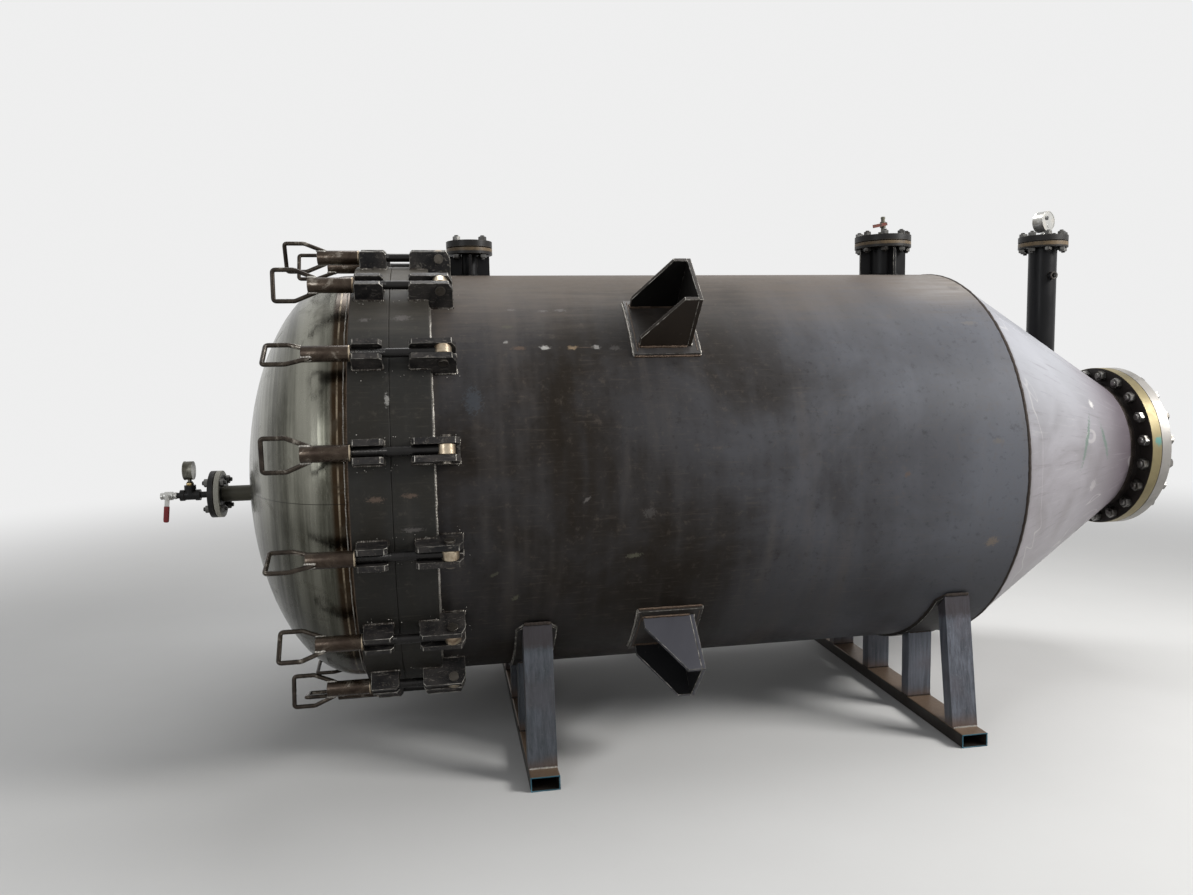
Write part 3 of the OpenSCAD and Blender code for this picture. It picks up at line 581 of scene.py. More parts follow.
def mill_plate(name, brown, blue, pale, marks=(), blue_reflection_span=None, rough=(0.40, 0.58), dust_and_top_light=0.0,
               specular=0.3):
    """Rolled plate with mill scale: brown and blue clouds, hairlines, rubbed spots, and dust that grows paler
    toward the top as painted top light; painted shade below; on the shell a painted blue reflection and
    highlight toward the outlet end.
    """
    p = Paint(name, specular=specular)
    x, _, z = p.place()
    cloud = p.noise(1.7, 6, 0.6, distortion=0.5)
    bands = p.noise(1.0, 3, 0.6, stretch=(7.5, 0.9, 0.9))
    hair = p.noise(9, 5, 0.7, stretch=(1.2, 14, 14))
    grain = p.noise(260, 3, 0.7)
    speck = p.noise(38, 6, 0.72)
    blue_scale_and_reflection = p.span(p.plus(bands, cloud, 0.55), 0.62, 0.98, 0, 0.8)
    # painted reflection: bluer toward the shell's outlet end, over the real blue scale
    if blue_reflection_span:
        blue_scale_and_reflection = p.plus(blue_scale_and_reflection, p.span(p.plus(cloud, x, 0.8), *blue_reflection_span, 0, 0.9), 0.35)
    p.color = p.mix(blue_scale_and_reflection, brown, blue)
    p.lay(pale, bands, 0.52, 0.72, 0.25)
    p.lay(pale, speck, 0.54, 0.74, 0.34)
    p.lay(shade(brown, 0.35), speck, 0.46, 0.30, 0.3)
    # painted shade: darker toward the bottom
    p.lay(shade(brown, 0.45), z, -0.02, -0.5, 0.5)
    p.lay(pale, hair, 0.54, 0.72, 0.22)
    if blue_reflection_span:
        end = SHELL_LEN * MM
        # painted highlight: a pale glare patch high on the shell near its outlet end
        glare = p.times(p.span(x, end - 0.42, end - 0.08), p.span(z, 0.58, 0.70))
        p.lay((0.44, 0.42, 0.40), p.times(glare, p.span(cloud, 0.3, 0.6, 0.35, 0.75)))
    if dust_and_top_light:
        streaks = p.noise(6, 5, 0.7, stretch=(0.7, 7, 7))
        # pale dust streaks, made paler toward the top as painted top light
        p.lay(pale, p.plus(streaks, p.plus(cloud, z, 0.30), 0.26), 0.76, 1.08, dust_and_top_light)
    shine = p.span(p.plus(cloud, p.times(speck, 0.4), 0.6), 0.35, 0.65, *rough)
    if marks:
        shine = p.plus(p.spots(marks), shine, -0.10)
    return p.finish(shine, p.plus(grain, p.plus(hair, speck, 0.5), 0.25), 0.14, 0.0006)


def cone_plate():
    """Cone plate: pale mauve scale with a painted bluish top light, scratches down its slope and chalky
    smears.
    """
    p = Paint("Cone_Plate", metallic=0.25)
    x, y, z = p.place()
    end = SHELL_LEN * MM
    cloud = p.noise(2.6, 6, 0.62, distortion=0.6)
    slope_x = p.times(p.plus(x, WELD_X), 1.6)
    unrolled = p.node("CombineXYZ", {0: slope_x, 1: p.times(p.math("ARCTAN2", y, z), 11)}).outputs[0]
    slope = p.noise(2.6, 6, 0.72, at=unrolled)
    grain = p.noise(170, 4, 0.7)
    swirl = p.noise(1.7, 3, 0.5, distortion=0.9)
    p.color = p.mix(p.span(cloud, 0.3, 0.7), (0.185, 0.170, 0.178), (0.300, 0.287, 0.308))
    # painted top light: paler and bluer toward the top
    p.lay((0.335, 0.355, 0.390), z, -0.1, 0.45, 0.6)
    p.lay((0.115, 0.093, 0.110), p.plus(cloud, x, 0.2), end + 0.45, end + 0.92, 0.85)
    p.lay((0.50, 0.49, 0.50), slope, 0.55, 0.70, 0.18)
    p.lay((0.13, 0.117, 0.127), slope, 0.46, 0.32, 0.45)
    p.lay((0.55, 0.53, 0.52), p.line(swirl, 0.5, 0.006, 0.002, 0.3))
    p.lay((0.10, 0.09, 0.095), x, end + 0.035, end + 0.004, 0.45)
    p.spots(cone_marks())
    return p.finish(p.span(cloud, 0.35, 0.65, 0.36, 0.50), p.plus(grain, slope), 0.14, 0.0006)


def bracket_plate():
    """Bracket plates: nearly black brown above, bluish grey mill scale on the lower ones, with painted shade
    between the gussets.
    """
    p = Paint("Bracket_Plate", specular=0.2)
    x, y, z = p.place()
    cloud = p.noise(5, 6, 0.6, distortion=0.4)
    speck = p.noise(60, 5, 0.7)
    low = p.mix(cloud, (0.040, 0.040, 0.048), (0.078, 0.079, 0.094))
    high = p.mix(cloud, (0.010, 0.007, 0.005), (0.026, 0.018, 0.012))
    p.color = p.mix(p.span(z, -0.1, 0.1), low, high)
    # painted shade: near black in the pocket between a bracket's two gussets
    side = p.math("SUBTRACT", p.math("ABSOLUTE", y), p.math("ABSOLUTE", z))
    side = p.math("ABSOLUTE", p.times(side, math.sqrt(0.5)))
    gusset_pocket_shade = p.span(side, (GUSSET_INNER + 2) * MM, (GUSSET_INNER + 0.8) * MM)
    gusset_pocket_shade = p.times(gusset_pocket_shade, p.span(x, (BRACKET_X + 6) * MM, (BRACKET_X + 3) * MM))
    p.lay((0.005, 0.005, 0.005), gusset_pocket_shade, strength=0.9)
    p.lay((0.13, 0.115, 0.10), speck, 0.62, 0.76, 0.4)
    return p.finish(p.span(cloud, 0.35, 0.65, 0.42, 0.58), speck, 0.16, 0.0006)


def section_steel():
    """Cold formed section: blue-grey with long streaks, brown dust and blue paint at its ends, with painted
    shade on the head end's cradle and at the leg tops under the tank.
    """
    p = Paint("Section_Steel", metallic=0.25)
    x, y, z = p.axes()
    streak = p.noise(24, 6, 0.75, stretch=(3.4, 3.4, 0.14), distortion=0.15)
    cloud = p.noise(5, 5, 0.6)
    speck = p.noise(95, 5, 0.7)
    p.color = p.mix(p.span(streak, 0.2, 0.8), (0.034, 0.038, 0.045), (0.150, 0.160, 0.192))
    p.lay((0.085, 0.072, 0.080), cloud, 0.48, 0.66, 0.5)
    p.lay((0.23, 0.23, 0.24), speck, 0.58, 0.74, 0.4)
    # painted shade: the cradle at the head end darker than the one at the outlet
    p.lay((0.020, 0.027, 0.027), x, WELD_X + 1.3, WELD_X + 0.9, 0.40)
    # painted shade: a dark speckled band at the tops of the legs and posts, under the tank
    p.lay((0.034, 0.026, 0.027), p.plus(speck, z, 0.05), AXIS_Z - 0.535, AXIS_Z - 0.505, 0.75)
    rust = p.times(p.span(p.plus(cloud, z, -0.10), 0.06, -0.01), p.span(z, 0.0495, 0.0515))
    p.lay((0.13, 0.082, 0.055), rust, strength=0.7)
    top = p.times(p.span(p.facing_up(), 0.3, 0.6), p.span(z, 0.0465, 0.0480))
    dust = p.mix(cloud, (0.10, 0.068, 0.045), (0.24, 0.165, 0.110))
    dark = p.mix(streak, (0.010, 0.009, 0.008), (0.036, 0.028, 0.022))
    p.lay(p.mix(top, dark, dust), z, 0.0515, 0.0505)
    end = p.span(p.plus(speck, p.math("ABSOLUTE", y), 0.006), 0.7505, 0.7525)
    p.lay((0.030, 0.105, 0.145), p.times(end, p.span(z, 0.052, 0.0505)))
    return p.finish(p.span(streak, 0.3, 0.7, 0.36, 0.52), p.plus(streak, speck), 0.14, 0.0005)


def polished_head():
    """Dished head ground bright: fine lines round the head, brown stains by the seam, painted reflection
    streaks, a painted highlight band and painted shade below.
    """
    p = Paint("Polished_Head", metallic=0.9)
    x, _, z = p.place()
    lines = p.noise(40, 4, 0.7, stretch=(14, 1, 1))
    bands = p.noise(9, 4, 0.6, stretch=(3.2, 0.12, 0.12))
    cloud = p.noise(2.2, 5, 0.6, distortion=0.5)
    stain = p.noise(9, 6, 0.7, distortion=1.2)
    # painted reflection: light and dark streaks round the head, mixed with cloudy tone
    bright = p.span(p.plus(cloud, bands, 0.5), 0.52, 0.98)
    p.color = p.mix(bright, (0.040, 0.039, 0.028), (0.225, 0.222, 0.186))
    # painted highlight: a pale band near the head's seam, brighter toward the top
    p.lay((0.34, 0.335, 0.285), p.times(p.line(x, -0.385, 0.055, 0.02, 0.6), p.span(z, -0.2, 0.3)))
    p.lay((0.055, 0.048, 0.032), stain, 0.56, 0.72, 0.5)
    p.lay((0.27, 0.265, 0.225), lines, 0.5, 0.7, 0.25)
    # painted shade: darker toward the bottom
    p.lay((0.040, 0.040, 0.030), z, 0.2, -0.6, 0.5)
    p.lay((0.030, 0.018, 0.009), p.times(p.span(x, -0.322, -0.304), p.span(stain, 0.3, 0.55, 0.80, 1.0)))
    p.lay((0.30, 0.25, 0.18), p.times(p.line(x, -0.292, 0.004, 0.0015, 0.8), p.span(stain, 0.35, 0.6)))
    p.lay((0.012, 0.011, 0.009), p.line(z, -0.001, 0.0016, 0.0008, 0.75))
    shine = p.plus(p.span(lines, 0.3, 0.7, 0.17, 0.27), p.span(stain, 0.5, 0.72, 0, 0.16))
    return p.finish(shine, lines, 0.06, 0.0004)


def worn_edge():
    """Edges knocked bright in handling."""
    p = Paint("Worn_Edge", metallic=0.7)
    patch = p.noise(38, 5, 0.7)
    p.color = p.mix(p.span(patch, 0.42, 0.62), (0.085, 0.080, 0.070), (0.46, 0.44, 0.40))
    return p.finish(p.span(patch, 0.4, 0.65, 0.55, 0.36), patch, 0.2, 0.0005)


def dark_lug():
    """Flame-cut lug plates: blue-black scale, scratches and pale weld dust."""
    p = Paint("Lug_Plate", metallic=0.2, specular=0.25)
    cloud = p.noise(11, 6, 0.65, distortion=0.5)
    scratch = p.noise(32, 4, 0.75, stretch=(1, 6, 1), distortion=0.8)
    speck = p.noise(160, 4, 0.7)
    p.color = p.mix(p.span(cloud, 0.3, 0.7), (0.007, 0.007, 0.008), (0.040, 0.036, 0.034))
    p.lay((0.19, 0.175, 0.155), scratch, 0.57, 0.70, 0.75)
    p.lay((0.17, 0.14, 0.11), speck, 0.58, 0.72, 0.7)
    return p.finish(p.span(cloud, 0.35, 0.65, 0.38, 0.55), p.plus(cloud, speck), 0.3, 0.0007)


def weld_metal(name, light, dark, rough, bare=(0.45, 0.95)):
    """Weld metal with crescent ripples across its length."""
    p = Paint(name, metallic=0.7)
    ripple_pitch = 4.5 * MM
    along = p.node("Attribute", {}, attribute_name="along").outputs["Fac"]
    wobble = p.noise(120, 3, 0.6)
    ripple = p.math("SINE", p.plus(along, p.times(wobble, 5.0), 2 * math.pi / ripple_pitch))
    ripple = p.span(ripple, -1, 1)
    patch = p.noise(28, 5, 0.7)
    p.color = p.mix(p.span(p.plus(ripple, patch, 0.4), *bare), dark, light)
    return p.finish(p.span(patch, 0.3, 0.7, rough, rough + 0.2), p.plus(wobble, ripple, 0.8), 0.65, 0.0009)


def clamp_nut():
    """Tubular nuts: brown rust over turned steel, rubbed bright in places."""
    p = Paint("Nut_Tube", metallic=0.7, specular=0.5)
    cloud = p.noise(13, 6, 0.65, distortion=0.6)
    rings = p.noise(30, 3, 0.6, stretch=(16, 1, 1))
    speck = p.noise(150, 4, 0.7)
    p.color = p.mix(p.span(cloud, 0.3, 0.7), (0.022, 0.012, 0.007), (0.075, 0.056, 0.040))
    p.lay((0.25, 0.22, 0.185), cloud, 0.56, 0.66, 0.85)
    p.lay((0.018, 0.012, 0.009), speck, 0.54, 0.70, 0.6)
    return p.finish(p.span(cloud, 0.35, 0.62, 0.36, 0.22), p.plus(rings, speck), 0.12, 0.0003)


def bar_steel():
    """Handle bar: dark drawn bar with brown handling marks and bright rubs."""
    p = Paint("Handle_Bar", metallic=0.75, specular=0.5)
    cloud = p.noise(20, 6, 0.65, distortion=0.4)
    speck = p.noise(170, 4, 0.7)
    p.color = p.mix(p.span(cloud, 0.3, 0.7), (0.018, 0.013, 0.010), (0.062, 0.050, 0.038))
    p.lay((0.30, 0.275, 0.235), cloud, 0.56, 0.68, 0.8)
    p.lay((0.05, 0.028, 0.018), speck, 0.6, 0.75, 0.4)
    return p.finish(p.span(cloud, 0.35, 0.65, 0.34, 0.22), speck, 0.15, 0.0003)


def oiled_rod():
    """Eye bolts: black oiled steel, threaded where the nut runs."""
    p = Paint("Oiled_Rod", metallic=0.4)
    x = p.axes()[0]
    cloud = p.noise(18, 5, 0.6)
    pitch = 4 * MM
    p.color = p.mix(cloud, (0.007, 0.007, 0.007), (0.024, 0.022, 0.021))
    groove = p.math("SINE", p.times(x, 2 * math.pi / pitch))
    groove = p.times(groove, p.span(x, WELD_X - 0.135, WELD_X - 0.140))
    return p.finish(p.span(cloud, 0.3, 0.7, 0.24, 0.38), groove, 0.6, 0.001)


def bright_steel(name, light, rough, dark):
    """Machined metal with tool lines and a little tarnish."""
    p = Paint(name, metallic=0.9)
    lines = p.noise(60, 3, 0.6, stretch=(10, 1, 1))
    patch = p.noise(18, 5, 0.65, distortion=0.4)
    p.color = p.mix(p.span(patch, 0.38, 0.68), light, dark)
    p.lay(shade(light, 0.6), lines, 0.4, 0.7, 0.25)
    return p.finish(p.span(patch, 0.35, 0.7, rough, rough + 0.2), lines, 0.08, 0.0003)


def black_varnish(name, black, rust, bare_head=False):
    """Black mill varnish with rust where it is rubbed through; the head's nozzle is nearly bare."""
    p = Paint(name, specular=0.14)
    cloud = p.noise(8, 5, 0.6)
    speck = p.noise(70, 6, 0.7)
    gone = p.math("MAXIMUM", p.worn_corner(), p.span(speck, 0.63, 0.74, 0, 0.6))
    p.color = p.mix(cloud, black, shade(black, 1.9))
    if bare_head:
        p.lay((0.066, 0.062, 0.047), p.place()[0], -0.55, -0.60)
    p.lay(rust, p.times(gone, p.span(cloud, 0.35, 0.6, 0.35, 1.0)))
    return p.finish(p.plus(gone, p.span(cloud, 0.3, 0.7, 0.28, 0.42), 0.18), speck, 0.15, 0.0005)


def nozzle_flange():
    """Small flanges: black, tan along the top joints, with a turned rim on the head's and a painted sheen on
    the top faces at the cone.
    """
    p = Paint("Small_Flange", specular=0.2)
    cloud = p.noise(8, 5, 0.6)
    speck = p.noise(70, 6, 0.7)
    x, _, z = p.place()
    up = p.facing_up()
    joint = p.span(x, 0.8, 1.0, TOP_NOZZLES[0][1] * MM, TOP_NOZZLES[1][1] * MM)
    above = p.math("SUBTRACT", z, joint)
    band = p.times(p.span(above, -0.017, -0.011), p.span(above, 0.004, -0.001))
    band = p.times(band, p.span(p.math("ABSOLUTE", up), 0.5, 0.3))
    tan = p.mix(cloud, (0.045, 0.033, 0.022), (0.230, 0.165, 0.095))
    p.color = p.mix(cloud, (0.008, 0.008, 0.008), (0.020, 0.018, 0.017))
    p.lay(tan, p.times(band, p.span(speck, 0.35, 0.55, 0.6, 1.0)))
    from_joint = p.plus(x, -HEAD_NOZZLE_X * MM)
    rim = p.span(p.off_line(HEAD_NOZZLE_Z * MM), 0.0720, 0.0745)
    turned = p.times(rim, p.span(from_joint, 0.0012, 0.0022))
    p.lay((0.33, 0.32, 0.275), p.times(turned, p.span(from_joint, 0.06, 0.05)))
    # painted sheen: up-facing faces of the cone's nozzle flanges made paler
    p.lay((0.085, 0.085, 0.088), p.times(p.span(up, 0.7, 0.9), p.span(x, 2.3, 2.4)), strength=0.7)
    p.lay((0.16, 0.13, 0.095), p.worn_corner(), strength=0.7)
    return p.finish(p.span(cloud, 0.3, 0.7, 0.34, 0.5), speck, 0.15, 0.0005)


def flange_face(name, node, rim, marks=()):
    """Forged flange: dark face with rust bloom, bright turned rim."""
    p = Paint(name, specular=0.25)
    low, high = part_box(node)
    outer = (high.y - low.y) / 2
    edge = p.span(p.off_line(), outer - 0.0022, outer - 0.0012)
    cloud = p.noise(9, 6, 0.65, distortion=0.6)
    speck = p.noise(80, 5, 0.7)
    face = p.mix(cloud, (0.012, 0.010, 0.010), (0.032, 0.027, 0.025))
    face = p.mix(p.span(speck, 0.57, 0.72, 0, 0.5), face, (0.085, 0.062, 0.047))
    p.color = p.mix(p.span(p.noise(5, 4, 0.6), 0.40, 0.66), rim, shade(rim, 0.72))
    p.lay(shade(rim, 0.35), speck, 0.60, 0.74, 0.5)
    if marks:
        p.spots(marks)
    p.color = p.mix(edge, face, p.color)
    return p.finish(p.span(cloud, 0.35, 0.65, 0.40, 0.55), speck, 0.18, 0.0005, p.plus(edge, 0.15, 0.35))


def two_tone(name, dark, light, rough, scale=120, metallic=0.0):
    """A quiet surface with a fine mottle: fibre, card, ink, a valve body or a vinyl sleeve."""
    p = Paint(name, metallic=metallic, specular=0.4)
    speck = p.noise(scale, 4, 0.65)
    p.color = p.mix(speck, dark, light)
    return p.finish(p.span(speck, 0.3, 0.7, *rough), speck, 0.14, 0.0003)


def worn_paint(name, paint, under):
    """Paint that has chipped off in flakes."""
    p = Paint(name)
    chip = p.noise(75, 6, 0.72, distortion=0.4)
    gone = p.span(chip, 0.52, 0.60)
    p.color = p.mix(gone, paint, under)
    return p.finish(p.span(chip, 0.4, 0.65, 0.38, 0.6), gone, 0.3, 0.0004)


def window_glass():
    p = Paint("Window_Glass", specular=0.5)
    shine = p.span(p.noise(40, 3, 0.5), 0.3, 0.8, 0.02, 0.08)
    values = {"Base Color": (0.96, 0.98, 0.98), "Transmission Weight": 1.0, "IOR": 1.3, "Roughness": shine}
    p.feed(p.shader, values)
    return p.material


def make_materials():
    teal_place = (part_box("outlet_flange")[1].x - 0.012, -0.335, AXIS_Z + 0.047)
    teal = (teal_place, (0.020, 0.030, 0.022), 0, (0.07, 0.22, 0.21), 0.85)
    # x range of the shell's painted blue reflection
    blue_reflection_span = (1.1, SHELL_LEN * MM + 0.45)
    return {
        "shell": mill_plate("Body_Plate", (0.0155, 0.0118, 0.0085), (0.110, 0.115, 0.132),
                            (0.112, 0.092, 0.075), shell_marks(), blue_reflection_span, dust_and_top_light=0.85, specular=0.1),
        "cone": cone_plate(),
        "ring": mill_plate("Ring_Forging", (0.0165, 0.0145, 0.0110), (0.024, 0.024, 0.023),
                           (0.085, 0.076, 0.062), ring_marks(), rough=(0.42, 0.58), dust_and_top_light=0.7, specular=0.2),
        "pad": mill_plate("Pad_Plate", (0.026, 0.021, 0.017), (0.046, 0.046, 0.050), (0.12, 0.10, 0.085),
                          dust_and_top_light=0.3),
        "strip": mill_plate("Strip_Plate", (0.016, 0.0135, 0.011), (0.024, 0.024, 0.026),
                            (0.075, 0.062, 0.052)),
        "bracket": bracket_plate(),
        "cradle": section_steel(),
        "dish": polished_head(),
        "edge": worn_edge(),
        "lug": dark_lug(),
        "weld_bright": weld_metal("Weld_Bright", (0.50, 0.48, 0.44), (0.085, 0.072, 0.060), 0.32),
        "weld_lug": weld_metal("Weld_Lug", (0.50, 0.47, 0.42), (0.030, 0.024, 0.020), 0.34, (0.78, 1.02)),
        "weld_brown": weld_metal("Weld_Brown", (0.16, 0.115, 0.085), (0.030, 0.020, 0.014), 0.42),
        "weld_dark": weld_metal("Weld_Dark", (0.050, 0.040, 0.034), (0.016, 0.012, 0.010), 0.5),
        "nut": clamp_nut(),
        "bar": bar_steel(),
        "rod": oiled_rod(),
        # warm tint: painted reflection of warm light on the bright pins and eyes
        "pin": bright_steel("Pin_Steel", (0.50, 0.42, 0.31), 0.28, (0.20, 0.14, 0.09)),
        "hinge": bright_steel("Hinge_Steel", (0.15, 0.135, 0.115), 0.30, (0.040, 0.034, 0.030)),
        "varnish": black_varnish("Black_Varnish", (0.0055, 0.0055, 0.0060), (0.060, 0.036, 0.022), True),
        "flange": flange_face("Flange_Black", "outlet_flange", (0.215, 0.180, 0.098), [teal]),
        "blind": flange_face("Blind_Black", "outlet_blind", (0.29, 0.278, 0.262)),
        "small_flange": nozzle_flange(),
        "gasket": two_tone("Gasket_Fibre", (0.018, 0.014, 0.009), (0.050, 0.040, 0.025), (0.7, 0.85), 220),
        "stud": bright_steel("Stud_Steel", (0.25, 0.245, 0.235), 0.30, (0.045, 0.038, 0.030)),
        "dark_stud": bright_steel("Dark_Stud", (0.12, 0.118, 0.112), 0.32, (0.024, 0.021, 0.019)),
        "case": bright_steel("Gauge_Steel", (0.52, 0.52, 0.50), 0.24, (0.30, 0.285, 0.26)),
        "dim_case": bright_steel("Dim_Steel", (0.20, 0.195, 0.165), 0.22, (0.060, 0.056, 0.044)),
        "brass": bright_steel("Brass", (0.50, 0.38, 0.18), 0.28, (0.26, 0.18, 0.08)),
        "iron": black_varnish("Black_Iron", (0.011, 0.011, 0.011), (0.055, 0.036, 0.025)),
        "olive": two_tone("Olive_Valve", (0.060, 0.058, 0.042), (0.125, 0.120, 0.092), (0.32, 0.5), 60, 0.6),
        "grip": two_tone("Vinyl_Grip", (0.150, 0.009, 0.011), (0.25, 0.018, 0.018), (0.32, 0.5), 90),
        "red_paint": worn_paint("Worn_Red", (0.145, 0.030, 0.016), (0.045, 0.026, 0.018)),
        "dial": two_tone("Dial_Card", (0.70, 0.70, 0.68), (0.78, 0.78, 0.76), (0.45, 0.55), 60),
        "ink": two_tone("Ink", (0.015, 0.015, 0.015), (0.025, 0.025, 0.025), (0.45, 0.6)),
        "glass": window_glass(),
    }


# Carried nodes

def dress(node, *materials):
    """Gives a carried-over solid its materials."""
    mesh = frame["nodes"][node].data
    for i, material in enumerate(materials):
        if i < len(mesh.materials):
            mesh.materials[i] = material
        else:
            mesh.materials.append(material)


def soften(node, width, edge_number=None, angle=35, segments=2):
    """Rounds the edges of a carried-over solid with modifiers alone."""
    obj = frame["nodes"][node]
    obj.modifiers.new("join", "WELD").merge_threshold = 0.00002
    rounding = obj.modifiers.new("round", "BEVEL")
    rounding.width = width * MM
    rounding.segments = segments
    rounding.limit_method = "ANGLE"
    rounding.angle_limit = math.radians(angle)
    if edge_number is not None:
        rounding.material = edge_number
    normal = obj.modifiers.new("shade", "WEIGHTED_NORMAL")
    normal.keep_sharp = False
    normal.weight = 60


def dress_nodes(m):
    """Materials of the carried nodes, and how wide their edges are rounded."""
    plain = {
        "shell": "shell", "cone": "cone", "cover_dish": "dish", "outlet_flange": "flange",
        "outlet_blind": "blind", "outlet_gasket": "gasket", "nozzle_pipes": "varnish",
    }
    for node, name in plain.items():
        dress(node, m[name])
    rounded = {
        "body_ring": ("ring", 2.5), "cover_ring": ("ring", 2.5), "nozzle_flanges": ("small_flange", 1.2),
        "nozzle_blinds": ("small_flange", 1.2), "vent_valve": ("olive", 0.8), "test_tee": ("iron", 0.8),
        "test_valve": ("case", 0.8), "vent_lever": ("red_paint", 1.5), "test_lever": ("case", 1.5),
        "top_gauge": ("case", 1.0), "test_gauge": ("dim_case", 1.0),
    }
    for node, (name, width) in rounded.items():
        dress(node, m[name])
        soften(node, width)
    knocked = {
        "cover_lugs": ("lug", 1.6), "body_lugs": ("lug", 1.6), "nozzle_gussets": ("varnish", 1.0),
        "bracket_pads": ("pad", 1.0), "bracket_gussets": ("bracket", 1.3), "bracket_plates": ("bracket", 1.3),
        "wear_strips": ("strip", 1.0), "hinge_pins": ("hinge", 1.2),
    }
    for node, (name, width) in knocked.items():
        dress(node, m[name], m["edge"])
        soften(node, width, 1)
    for node in ("cradle_legs", "cradle_posts", "cradle_beams"):
        dress(node, m["cradle"])
        soften(node, 4.0, None, 60, 3)


# Added pieces

def handle_turn(number):
    """Turn of a handle about its bolt: the far side mirrors the near one."""
    if number < CLAMPS // 2:
        return HANDLE_TURNS[number]
    return -HANDLE_TURNS[CLAMPS - 1 - number]


def swing_bolt(joint, m):
    """One eye bolt with its tubular nut and bent handle, as joined shapes.

    The local frame has X along the tank, Y round the ring and Z outward. Its
    origin lies level with the weld, in the middle of the bolt.
    """
    body = joint["child"]
    number = int(body[-2:]) - 1
    axis = Vector(joint["axis"])
    along = Vector((1, 0, 0))
    place = Matrix((along, axis, along.cross(axis))).transposed().to_4x4()
    place.translation = Vector(joint["pos_m"]) - along * PIN_X * MM
    at_pin = shifted(place, PIN_X, 0)
    form = Form()
    eye = [(-EYE_HALF, 14), (-EYE_HALF, EYE_R - 2), (2 - EYE_HALF, EYE_R), (EYE_HALF - 2, EYE_R),
           (EYE_HALF, EYE_R - 2), (EYE_HALF, 14), (EYE_HALF - 1.5, EYE_BORE_R), (1.5 - EYE_HALF, EYE_BORE_R)]
    form.add(tube_ring(eye), at_pin @ aim((0, 0, 0), (0, 1, 0)), 1)
    rod = [(22, ROD_R * 1.08), (30, ROD_R * 1.03), (40, ROD_R), (PIN_X - NUT_FACE + 40, ROD_R)]
    form.add(lathe(rod, 32), at_pin @ aim((0, 0, 0), (-1, 0, 0)), 0)
    length = NUT_FACE - NUT_END
    tube = [(0, 16), (0, NUT_R - 2.5), (2.5, NUT_R), (length - 3, NUT_R), (length - 0.8, NUT_R - 1.2),
            (length, NUT_R - 3.5), (length - 1, NUT_R - 9), (length - 1.5, 0.1)]
    at_nut = place @ aim((NUT_FACE * MM, 0, 0), (-1, 0, 0))
    form.add(lathe(tube), at_nut, 2)
    collar = [(-0.2, 17), (-0.2, NUT_R - 2), (1.8, NUT_R + 0.4), (5, NUT_R + 0.4), (5.6, NUT_R - 0.5),
              (5, 17)]
    form.add(tube_ring(collar), at_nut, 1)
    turned = place @ Matrix.Rotation(math.radians(-handle_turn(number)), 4, "X")
    root_x = NUT_END + 24
    half = [(root_x, NUT_R - 2), (NUT_END - HANDLE_FLARE, HANDLE_LEG), (HANDLE_END + BAR_R, HANDLE_LEG)]
    corners = [(x, -y, 0) for x, y in half] + [(x, y, 0) for x, y in reversed(half)]
    form.add(sweep(bent(corners, (30, HANDLE_BEND, HANDLE_BEND, 30)), BAR_R), turned, 3)
    for side in (-1, 1):
        start = Vector((root_x + 9, side * (NUT_R - 1), 0)) * MM
        end = Vector((NUT_END - 2, side * (NUT_R + 1), 0)) * MM
        for z in (-1, 1):
            points = [p + Vector((0, 0, z * 6.5 * MM)) for p in steps(start, end, 8)]
            lean = Vector((0, side, z * 0.9))
            form.add(bead(points, [lean] * 8, 10, 4, seed=number * 4 + side + z), turned, 4)
    materials = [m["rod"], m["pin"], m["nut"], m["bar"], m["weld_bright"]]
    piece = form.piece("Swing_Bolt_" + body[-2:], materials, body, "clamp_steel")
    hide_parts("swing_bolt_" + body[-2:])


def stud_row(form, base, pcd, count, faces, radius, across, thick, stick):
    """Nuts and stud ends of a pair of flanges, whose outer faces lie along the frame's Z."""
    rng = random.Random(int(count * 100 + pcd))
    for i in range(count):
        a = 2 * math.pi * (i + 0.5) / count
        for face, way in zip(faces, (-1, 1)):
            turn = Matrix.Rotation(rng.uniform(0, math.pi), 4, "Z")
            at = shifted(base, pcd / 2 * math.cos(a), pcd / 2 * math.sin(a), face)
            place = at @ aim((0, 0, 0), (0, 0, way)) @ turn
            form.add(nut(across, thick, radius), place)
            form.add(threaded(radius, thick + stick * rng.uniform(0.8, 1.1), radius * 0.22), place)


def flange_studs(m):
    """Studs of the outlet and of the four nozzles."""
    outlet = aim((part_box("outlet_blind")[1].x, 0, AXIS_Z), (1, 0, 0), (0, 0, 1))
    form = Form()
    stud_row(form, outlet, OUTLET_PCD, OUTLET_BOLTS, (-OUTLET_GRIP, 0), 13, 41, 25, 9)
    form.piece("Outlet_Studs", [m["stud"]], TANK, "flange_steel")
    form = Form()
    for x, height, _, _, pcd, count in TOP_NOZZLES:
        top = aim(spot(x, 0, height), (0, 0, 1))
        stud_row(form, top, pcd, count, (-TOP_FACE, TOP_FACE), 8, 27, 15, 6)
    head = aim(spot(HEAD_NOZZLE_X, 0, HEAD_NOZZLE_Z), (-1, 0, 0), (0, 0, 1))
    stud_row(form, head, HEAD_NOZZLE_PCD, HEAD_NOZZLE_BOLTS, (-HEAD_FACE, HEAD_FACE), 8, 27, 15, 8)
    form.piece("Nozzle_Studs", [m["dark_stud"]], TANK, "flange_steel")


